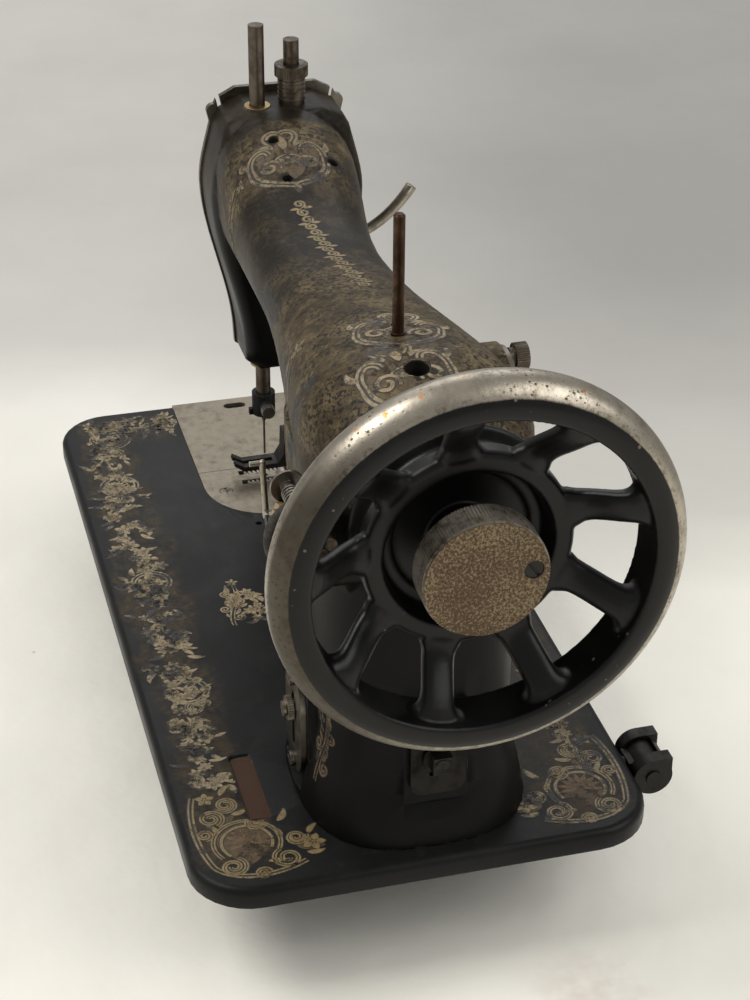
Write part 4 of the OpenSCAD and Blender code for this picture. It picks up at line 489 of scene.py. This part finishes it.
LOOK = dict(
    bed_casting="bed", arm_casting="arm", handwheel="wheel", stop_knob="knob", knob_screw="iron",
    slide_plate="plate", needle_plate="plate", face_plate="frame_plate", frame_screws="steel",
    head_studs="steel", bushings="bronze", arm_shaft="steel", crank_disc="steel", needle_bar_link="steel",
    rod_eccentrics="steel", hook_rod="iron", feed_rod="iron", take_up_lever="nickel", needle_bar="brown",
    needle_bar_collar="steel", needle_clamp="black", needle_clamp_screw="steel", needle="steel",
    presser_bar="brown", pressure_thumbscrew="brown", presser_spring="steel", presser_guide="steel",
    presser_lifter="nickel", presser_foot="iron", foot_screw="black", tension_stud="steel",
    tension_discs="steel", tension_springs="nickel", tension_nut="nickel", winder_base="black",
    winder_frame="black", winder_spindle="steel", winder_pulley="black", winder_tyre="rubber",
    winder_nut="brown", winder_worm_wheel="bronze", winder_guide="nickel", rear_cover="frame_plate",
    rear_cover_thumbscrew="brown", regulator_plate="frame_plate", regulator_lever="nickel",
    end_plate="dark_plate", end_plate_bolt="iron", spool_pin="rusty", hinge_arms="iron", hinge_knuckles="iron",
    feed_rock_shaft="steel", feed_bar="steel", feed_dog="steel", lift_rock_shaft="steel",
    shuttle_race="steel", hook="chrome", hook_shaft="steel", bobbin_case="chrome", bobbin="nickel")
for name, ob in nodes.items():
    ob.data.materials.clear()
    ob.data.materials.append(M[LOOK.get(name, "steel")])
    for p in ob.data.polygons:
        p.material_index = 0


# ---------------------------------------------------------------- castings with one smooth skin
def smooth_copy(name, body, angle, soft=None):
    """The same shape, its vertices joined and shaded smooth up to an angle in degrees, or one soft cast skin."""
    me = nodes[name].data.copy()
    bm = bmesh.new()
    bm.from_mesh(me)
    bmesh.ops.remove_doubles(bm, verts=bm.verts, dist=0.00002)
    bm.to_mesh(me)
    bm.free()
    for p in me.polygons:
        p.use_smooth = True
    me.set_sharp_from_angle(angle=math.radians(angle))
    ob = link(bpy.data.objects.new(name + "_skin", me))
    if soft:
        r = ob.modifiers.new("skin", "REMESH")
        r.mode = "VOXEL"
        r.voxel_size = soft
        r.use_smooth_shade = True
        k = ob.modifiers.new("soft", "SMOOTH")
        k.factor = 0.5
        k.iterations = 5
    else:
        w = ob.modifiers.new("normals", "WEIGHTED_NORMAL")
        w.keep_sharp = True
        w.weight = 80
    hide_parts(name)
    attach(ob, body)


smooth_copy("arm_casting", "frame", 28)
smooth_copy("bed_casting", "frame", 24)
smooth_copy("handwheel", "wheel", 34, 0.0007)
smooth_copy("presser_lifter", "lifter", 35)
smooth_copy("face_plate", "frame", 24)


# ---------------------------------------------------------------- painted scrollwork, worn
# A stroke is a list of points and a list of widths, in millimetres.
def polar(c, r, deg):
    a = math.radians(deg)
    return (c[0] + r * math.cos(a), c[1] + r * math.sin(a))


def spiral(c, r0, r1, a0, turns, n=40):
    return [polar(c, r0 + (r1 - r0) * i / n, a0 + 360 * turns * i / n) for i in range(n + 1)]


def bez(a, b, c, d, n=16):
    """A Bezier curve through a and d."""
    pts = []
    for i in range(n + 1):
        t = i / n
        f = ((1 - t) ** 3, 3 * t * (1 - t) ** 2, 3 * t * t * (1 - t), t ** 3)
        pts.append(tuple(sum(k * p[j] for k, p in zip(f, (a, b, c, d))) for j in (0, 1)))
    return pts


def stroke(pts, w, taper=0.5):
    n = len(pts) - 1
    return (pts, [w * (1 - taper * abs(2 * i / n - 1) ** 2) for i in range(n + 1)])


def leaf(p, ang, ln, w, bend=0.0, n=10):
    """A leaf from p, ln long and w wide, that turns by bend degrees."""
    pts = [polar(p, ln * i / n, ang + bend * i / n) for i in range(n + 1)]
    ws = [max(0.12, w * math.sin(math.pi * min(1.0, (i / n) ** 0.8)) ** 0.8) for i in range(n + 1)]
    return (pts, ws)


def ring(c, r, w, n):
    return stroke(spiral(c, r, r, 0, 1, n), w, 0)


def rosette(c, r, k, a0):
    out = [leaf(polar(c, 0.22 * r, a0 + i * 360 / k), a0 + i * 360 / k, r * 0.82, r * 0.5) for i in range(k)]
    return out + [ring(c, r * 0.14, r * 0.16, 12)]


def shell(c, r, a0, a1, k):
    """k ribs in a fan from angle a0 to a1, with a rim."""
    step = (a1 - a0) / k
    out = []
    for i in range(k):
        a = a0 + step * (i + 0.5)
        out.append(leaf(polar(c, 0.15 * r, a), a, r * 0.84, r * math.radians(step) * 0.62))
    out.append(stroke([polar(c, r * 1.06, a0 + (a1 - a0) * i / 28) for i in range(29)], 0.7, 0.2))
    return out


def turn(strokes, c, ang=0.0, sx=1.0, sy=1.0, k=1.0):
    """Strokes mirrored by sx and sy, scaled by k, turned and moved to c."""
    a = math.radians(ang)
    res = []
    for pts, ws in strokes:
        q = []
        for x, y in pts:
            x, y = x * sx * k, y * sy * k
            q.append((c[0] + x * math.cos(a) - y * math.sin(a), c[1] + x * math.sin(a) + y * math.cos(a)))
        res.append((q, [w * k for w in ws]))
    return res


def mirrored(strokes, k):
    """The same across the bed's middle line for k = -1, or as it is for k = 1."""
    return turn(strokes, (0, 0), 0, 1, k)


def along(pts, i):
    """Direction of a line at its point i, as a unit vector."""
    a, b = pts[max(0, i - 1)], pts[min(len(pts) - 1, i + 1)]
    d = math.hypot(b[0] - a[0], b[1] - a[1]) or 1
    return (b[0] - a[0]) / d, (b[1] - a[1]) / d


def twin(pts, g, w, taper=0.3):
    """Two thin lines side by side, each g from the middle."""
    out = []
    for k in (-1, 1):
        q = []
        for i, (x, y) in enumerate(pts):
            dx, dy = along(pts, i)
            q.append((x - k * g * dy, y + k * g * dx))
        out.append(stroke(q, w, taper))
    return out


def flower(c, r, k, a0):
    """A blossom of k full petals round a small ring."""
    wide = 2 * math.pi * 0.6 * r / k * 0.86
    out = [leaf(polar(c, 0.2 * r, a0 + i * 360 / k), a0 + i * 360 / k, r * 0.85, wide, 0, 7) for i in range(k)]
    return out + [ring(c, r * 0.12, r * 0.14, 8)]


def garland(rng, c, w):
    """Four blossoms and six leaves packed round a point, about w wide."""
    out = []
    for i in range(4):
        a = rng.uniform(0, 6.28)
        d = rng.uniform(0.1, 0.42) * w
        out += flower((c[0] + d * math.cos(a), c[1] + d * math.sin(a) * 0.9), rng.uniform(2.3, 4.6),
                      rng.choice((5, 5, 6)), rng.uniform(0, 72))
    for i in range(6):
        a = rng.uniform(0, 360)
        d = rng.uniform(0.2, 0.5) * w
        p = (c[0] + d * math.cos(math.radians(a)), c[1] + d * math.sin(math.radians(a)) * 0.9)
        out.append(leaf(p, a + rng.uniform(-60, 60), rng.uniform(4, 8), rng.uniform(1.6, 2.8), rng.uniform(-50, 50)))
    return out


def wheel_motif(c, r):
    """A round shell inside two rings, with small scrolls beside it."""
    out = twin(spiral(c, r, r, 0, 1, 30), 0.9, 0.7, 0) + shell((c[0], c[1] - 0.25 * r), r * 0.72, 20, 160, 6)
    for k in (-1, 1):
        out += twin(spiral((c[0] + k * r * 1.5, c[1] + 1), r * 0.52, 0.8, 90 + 90 * k, k * 1.5, 28), 0.5, 0.6)
        out.append(leaf((c[0] + k * r * 0.9, c[1] - r * 0.8), 90 - k * 120, r * 0.8, 2.4, k * 30))
    return out


# the near front corner of the bed, from the bed's middle
CORNER = (157.5, -65.5)
CORNER_SCROLLS = (      # middle, radius, start angle, turns
    ((170, -73), 5.2, 150, -1.7), ((169.5, -52.5), 5.6, 200, 1.6), ((141, -76), 5.0, 20, 1.6),
    ((146.5, -60), 4.2, 60, -1.6), ((134, -69), 4.6, 300, 1.7), ((159, -47), 4.0, 100, -1.6),
    ((150, -80), 2.8, 0, 1.3), ((176, -63), 2.8, 90, 1.3))
CORNER_LEAVES = (       # root, angle, length, width, bend
    ((168, -45), 60, 7, 2.4, 30), ((158, -42), 170, 7, 2.4, -30), ((148, -52), 120, 8, 2.6, 30),
    ((128, -70), 160, 8, 2.4, -20), ((140, -68), 80, 7, 2.4, 30), ((152, -55), 60, 6, 2.2, -30),
    ((150, -75), 190, 7, 2.2, 20), ((170, -60), 100, 7, 2.2, -20))


def corner_scrolls():
    """The bold corner round its shell."""
    s = twin(spiral(CORNER, 9.6, 9.6, 60, 0.7, 30), 0.3, 0.6, 0.1)
    s += twin(spiral(CORNER, 12.6, 12.6, 60, 0.68, 30), 0.55, 0.7, 0.1)
    s += twin(bez((127, -80.5), (140, -85), (158, -84), (169, -80)), 0.8, 0.8)
    s += twin(bez((169, -80), (178.5, -74), (179, -58), (172.5, -46)), 0.8, 0.8)
    for c, r, a, t in CORNER_SCROLLS:
        s += twin(spiral(c, r, 1.0, a, t, 34), 0.55, 0.75, 0.2)
    s += flower((163, -41.5), 4.6, 5, 10) + flower((129, -76), 3.6, 5, 30)
    return s + [leaf(*v) for v in CORNER_LEAVES]


def corner_ground():
    return [leaf((146, -66), 0, 24, 21, 0, 14), leaf((134, -72), 10, 12, 9), leaf((160, -48), 60, 12, 9)]


def shield_ground():
    return [leaf((0, -10), 90, 22, 11, 0, 12), leaf((-11, 1), 0, 22, 9, 0, 12), leaf((-3, 2), 130, 11, 7, 10),
            leaf((3, 2), 50, 11, 7, -10)]


def shield():
    """An upright shield of double scrolls, about 30 tall and 28 wide."""
    half = twin(bez((0, -13), (5, -12), (12.5, -9), (12, -1)), 0.8, 1.1)
    half += twin(bez((12, -1), (13, 8), (6, 9), (5.4, 4)), 0.7, 0.9)
    half.append(stroke(spiral((6.4, -2.4), 3.7, 0.9, 210, -1.3, 28), 1.3, 0.3))
    half += twin(bez((3, 8), (8, 14), (2, 16), (0, 13.5)), 0.7, 1.0)
    half += [leaf((12, 3), 30, 5.5, 2, 40), leaf((3.5, 6), 70, 5, 1.8, -40)]
    s = shell((0, -3), 5.0, 35, 145, 3)
    for k in (-1, 1):
        s += turn(half, (0, 0), 0, k, 1)
    return s + [leaf((0, 5), 90, 8, 3), leaf((0, -12), -90, 5, 2.2)]


def flourish():
    """An upright branch, 46 tall."""
    s = [stroke(bez((0, -23), (-5, -10), (5, 6), (0, 22), 24), 1.0),
         stroke(bez((2, -23), (-2.6, -10), (7.2, 6), (1.6, 22), 24), 0.7)]
    for y, side in ((-14, 1), (-5, -1), (4, 1), (12, -1)):
        s.append(stroke(spiral((side * 4.6, y), 3.6, 0.6, 90 + 90 * side, side * 1.6), 1.1, 0.3))
        s.append(leaf((side * 1.5, y + 3), 90 - side * 50, 7.5, 2.4, side * 30))
        s.append(leaf((-side * 1.0, y), 90 + side * 60, 5.5, 1.9, -side * 30))
    return s + rosette((0, 25), 4, 5, 90)


def chain_link(i):
    """Link i of the chain of small scrolls along the arm."""
    s = [stroke(spiral((-3, 0), 2.6, 0.5, 0, 1.5), 1.0, 0.3), stroke(spiral((3, 0), 2.6, 0.5, 180, 1.5), 1.0, 0.3),
         leaf((0, 1), 90, 3.8, 1.8), leaf((0, -1), -90, 3.8, 1.8)]
    return turn(s, (-28 + i * 11.2, 1.0 + i * 0.75), 4)


# Where strokes go: the casting's surface, the direction they are dropped in, a start point in metres for (u, v) in
# millimetres, and a test that a hit has to pass.
def surface(name):
    me = nodes[name].data
    me.calc_loop_triangles()
    return BVHTree.FromPolygons([v.co.copy() for v in me.vertices], [tuple(t.vertices) for t in me.loop_triangles])


def from_above(u, v):
    return Vector((u / 1000 - MX, v / 1000 - MY, 0.30))


def from_front(u, v):
    return Vector((u / 1000 - MX, -0.09, BED + v / 1000))


def on_bed(hit):
    return abs(hit.z - BED) < 0.0004


DOWN, BACK = Vector((0, 0, -1)), Vector((0, 1, 0))
bed_tree, arm_tree = surface("bed_casting"), surface("arm_casting")
BED_TOP = (bed_tree, DOWN, from_above, on_bed)
ARM_TOP = (arm_tree, DOWN, from_above, None)
ARM_FRONT = (arm_tree, BACK, from_front, None)
STEP = 1.1             # width in millimetres that one strip of faces covers
STEEP = -0.22          # no paint where the surface turns away more than this
TEAR = 0.006           # no face longer than this, in metres: it would bridge a step in the casting


def lay(name, strokes, where, mat, lift, grow=0.0):
    """Lays flat strokes on a casting, lift metres above it and grow millimetres wider on each side."""
    tree, ray, place, test = where
    verts, faces = [], []
    for pts, ws in strokes:
        cols = 1 + max(1, int(max(ws) / STEP + 0.5))
        rows = []
        for i, (x, y) in enumerate(pts):
            dx, dy = along(pts, i)
            w = ws[i] / 2 + grow
            row = []
            for c in range(cols):
                o = w * (2 * c / (cols - 1) - 1)
                hit, nrm, _, _ = tree.ray_cast(place(x - dy * o, y + dx * o), ray, 0.4)
                if hit is None or nrm.dot(ray) > STEEP or (test and not test(hit)):
                    row.append(None)
                else:
                    row.append(len(verts))
                    verts.append(hit + nrm * lift)
            rows.append(row)
        for r0, r1 in zip(rows, rows[1:]):
            for q in zip(r0, r0[1:], r1[1:], r1):
                if None not in q and max((verts[q[k]] - verts[q[k + 2]]).length for k in (0, 1)) < TEAR:
                    faces.append(q)
    me = bpy.data.meshes.new(name)
    me.from_pydata(verts, [], faces)
    me.update()
    for p in me.polygons:
        p.use_smooth = True
        if p.normal.dot(ray) > 0:
            p.flip()
    me.materials.append(mat)
    ob = link(bpy.data.objects.new(name, me))
    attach(ob, "frame")


def gilt(name, color, worn, rough, metallic, seed):
    """Old gilding; worn is how much of it has gone, 0 to 1."""
    m = Mat(name)
    n = m.noise(150, 6, 0.72, w=1.0 + seed)
    n2 = m.noise(34, 4, 0.6, w=2.0 + seed)
    t = 0.30 + 0.36 * worn
    left = m.step(m.blend(n, n2, 0.62), t, t + 0.1)
    shade = m.noise(420, 5, 0.7, w=5.0)
    c = m.mix(m.step(shade, 0.35, 0.7), color, dimmed(color, 0.45))
    return m.finish(c, rough, metallic, bevel=0, alpha=m.mul(left, 0.92))


DARK = gilt("scroll_outline", (0.016, 0.0135, 0.011), 0.15, 0.5, 0.0, 3.0)
GOLD = gilt("gilt", (0.27, 0.195, 0.085), 0.22, 0.45, 0.25, 0.0)
CREAM = gilt("gilt_cream", (0.36, 0.285, 0.17), 0.42, 0.6, 0.05, 1.0)
PALE = gilt("gilt_pale", (0.33, 0.255, 0.145), 0.36, 0.6, 0.1, 1.5)
FAINT = gilt("gilt_faint", (0.235, 0.175, 0.095), 0.3, 0.55, 0.1, 2.0)
RIB = gilt("gilt_ribs", (0.15, 0.095, 0.045), 0.3, 0.6, 0.0, 5.0)
GROUND = gilt("gilt_ground", (0.095, 0.062, 0.027), 0.3, 0.6, 0.0, 4.0)

# heights of the layers above the casting, in metres
LIFT_GROUND, LIFT_OUTLINE, LIFT_RIB, LIFT_GILT = 0.00004, 0.00007, 0.00008, 0.00012


def both(name, strokes, where, gold, grow):
    """Gilt strokes over a dark outline that is wider by grow."""
    lay(name + "_outline", strokes, where, DARK, LIFT_OUTLINE, grow)
    lay(name, strokes, where, gold, LIFT_GILT)


rng = random.Random(11)
border = []
for i in range(25):
    border += garland(rng, (-150 + i * 11.2, -71.5 + 3.0 * math.sin(i * 2.1)), 19 - 3 * abs(math.sin(i * 0.7)))
for u in (-112, -26, 58):
    border += wheel_motif((u, -69), 8)
both("front_border", border, BED_TOP, CREAM, 0.34)

far = []
for i in range(6):
    far += garland(rng, (-170 + (i % 2) * 4, -72 + i * 7.5), 15)
both("far_corner", far + wheel_motif((-158, -66), 9), BED_TOP, CREAM, 0.34)

for k, name in ((1, "near"), (-1, "rear")):
    lay(name + "_corner_ground", mirrored(corner_ground(), k), BED_TOP, GROUND, LIFT_GROUND)
    lay(name + "_corner_shell", mirrored(shell(CORNER, 8.8, 70, 300, 9), k), BED_TOP, RIB, LIFT_RIB)
both("near_corner", corner_scrolls(), BED_TOP, GOLD, 0.4)
both("rear_corner", mirrored(corner_scrolls(), -1), BED_TOP, PALE, 0.4)

rear = []
for i in range(12):
    rear += garland(rng, (-60 + i * 16.5, 71 + 2.5 * math.sin(i * 1.7)), 15)
both("rear_border", rear, BED_TOP, FAINT, 0.34)

spray = garland(rng, (-4, -33), 16) + garland(rng, (8, -28), 14) + turn(flourish(), (0, -38), 80, k=0.7)
both("bed_spray", spray, BED_TOP, PALE, 0.34)

for name, c, ang, k, gold in (("head_shield", (-60.5, 3), 90, 1.3, FAINT), ("arm_shield", (113, 3), 75, 1.25, PALE),
                              ("arm_shield_2", (148, -4), 96, 1.3, PALE)):
    lay(name + "_ground", turn(shield_ground(), c, ang, k=k), ARM_TOP, GROUND, LIFT_GROUND)
    both(name, turn(shield(), c, ang, k=k), ARM_TOP, gold, 0.42)

for name, c, ang, side, k, gold, grow in (
        ("arm_branch", (96, 141), 14, 1, 1.05, FAINT, 0.4), ("arm_branch_2", (-63, 148), -8, 1, 0.8, FAINT, 0.35),
        ("pillar_branch", (146, 33), -4, 1, 0.8, RIB, 0.35), ("pillar_branch_2", (100, 33), 4, -1, 0.8, RIB, 0.35)):
    both(name, turn(flourish(), c, ang, side, 1, k), ARM_FRONT, gold, grow)

lines = []
for c, ang, side, k in (((70, 148), -70, 1, 1.0), ((118, 150), -20, -1, 0.9), ((20, 152), -80, 1, 0.8)):
    lines += turn(flourish(), c, ang, side, 1, k)
lay("arm_lines", lines, ARM_FRONT, DARK, LIFT_RIB, 0.25)

chain = []
for i in range(8):
    chain += chain_link(i)
both("arm_chain", chain, ARM_TOP, GOLD, 0.3)


# ---------------------------------------------------------------- stage and light
# Directions over the floor as the camera sees it, and the floor's greys, painted light fall-off and shade: metres
# away from the camera past the machine's middle, and brightness there, for the left and for the right of the view
AWAY, ACROSS = (-0.965, 0.262), (0.262, 0.965)
LEFT_SHADE_GREYS = ((-0.2, 0.86), (0.08, 0.87), (0.27, 0.73), (0.35, 0.53), (0.57, 0.47), (0.9, 0.50))
RIGHT_SHADE_GREYS = ((-0.2, 1.0), (0.0, 0.93), (0.11, 0.82), (0.18, 0.57), (0.31, 0.41), (0.46, 0.33), (0.64, 0.32),
               (0.95, 0.36))
NEAR, REACH = 0.25, 1.5                   # the greys start this far in front of the middle, over this length


def floor_material():
    """A pale sheet, greyer far away and to the right in painted shade, with a light stain and some grit near the
    front.
    """
    m = Mat("floor")
    x, y, z = m.xyz()
    far, side = (m.add(m.mul(x, d[0]), m.mul(y, d[1])) for d in (AWAY, ACROSS))
    wave = m.mul(m.sub(m.noise(3.2, 4, 0.6, w=6.0), 0.5), 0.12)
    along_view = m.mul(m.add(far, wave, NEAR), 1 / REACH)

    def ramp(stops):
        n = m.t.nodes.new("ShaderNodeValToRGB")
        e = n.color_ramp.elements
        while len(e) < len(stops):
            e.new(0.5)
        for k, (d, v) in zip(e, stops):
            k.position = (d + NEAR) / REACH
            k.color = (v, v, v, 1)
        m.put(n.inputs[0], along_view)
        return n.outputs[0]

    # painted shade: the floor's colour darkened far away and to the right, where less light reaches it
    v = m.mix(m.step(side, -0.17, 0.17), ramp(LEFT_SHADE_GREYS), ramp(RIGHT_SHADE_GREYS))
    v = m.mul(v, m.step(m.noise(5.5, 4, 0.55), 0.3, 0.7, 1.03, 0.95))
    tint = m.mix(m.step(far, -0.05, 0.5), (1.0, 0.975, 0.89), (1.0, 0.975, 0.92))
    tinted = m.t.nodes.new("ShaderNodeVectorMath")
    tinted.operation = "MULTIPLY"
    m.put(tinted.inputs[0], tint)
    m.put(tinted.inputs[1], m.vec(v, v, v))
    stain = m.mul(m.spot((0.19, 0.045, 0.0), 0.005, 0.035), m.step(m.noise(30, 4, 0.6, w=2.0), 0.4, 0.6), 0.3)
    c = m.mix(stain, tinted.outputs[0], (0.6, 0.42, 0.36))
    grit = m.mul(m.fall(m.voro(55), 0.035, 0.06), m.step(m.noise(7, 3, 0.5, w=4.0), 0.56, 0.62), 0.4)
    c = m.mix(grit, c, (0.34, 0.29, 0.24))
    return m.finish(c, 0.75, 0.0, [(m.noise(9, 5, 0.55), 0.004)], bevel=0, spec=0.2)


bpy.ops.mesh.primitive_plane_add(size=30, location=(0, 0, 0))
floor = bpy.context.object
floor.name = "floor"
floor.data.materials.append(floor_material())


def area(name, at, aim, size, power, color):
    lamp = bpy.data.lights.new(name, "AREA")
    lamp.shape = "RECTANGLE"
    lamp.size, lamp.size_y = size
    lamp.energy = power
    lamp.color = color
    ob = link(bpy.data.objects.new(name, lamp))
    aimed(ob, at, aim)


area("key", (-0.3, -1.2, 1.9), (0.05, 0, 0.15), (1.3, 1.0), 30, (1.0, 0.985, 0.955))
area("side", (0.9, 1.3, 1.5), (0.1, 0.02, 0.1), (1.5, 1.3), 17, (1.0, 0.99, 0.965))
area("back", (-1.7, 0.4, 1.5), (0, 0, 0.15), (1.6, 1.2), 9, (0.985, 0.99, 1.0))


def make_world():
    """Soft light from all round; the camera sees the same sky brighter, as a pale wall."""
    world = bpy.data.worlds.new("world")
    bpy.context.scene.world = world
    world.use_nodes = True
    t = world.node_tree
    t.nodes.clear()
    out = t.nodes.new("ShaderNodeOutputWorld")
    path = t.nodes.new("ShaderNodeLightPath")
    mixed = t.nodes.new("ShaderNodeMixShader")
    t.links.new(path.outputs["Is Camera Ray"], mixed.inputs[0])
    for slot, color, strength in ((1, (0.97, 0.965, 0.95, 1), 0.46), (2, (0.86, 0.85, 0.83, 1), 1.0)):
        sky = t.nodes.new("ShaderNodeBackground")
        sky.inputs[0].default_value = color
        sky.inputs[1].default_value = strength
        t.links.new(sky.outputs[0], mixed.inputs[slot])
    t.links.new(mixed.outputs[0], out.inputs[0])


make_world()
bpy.context.scene.view_settings.view_transform = "Standard"
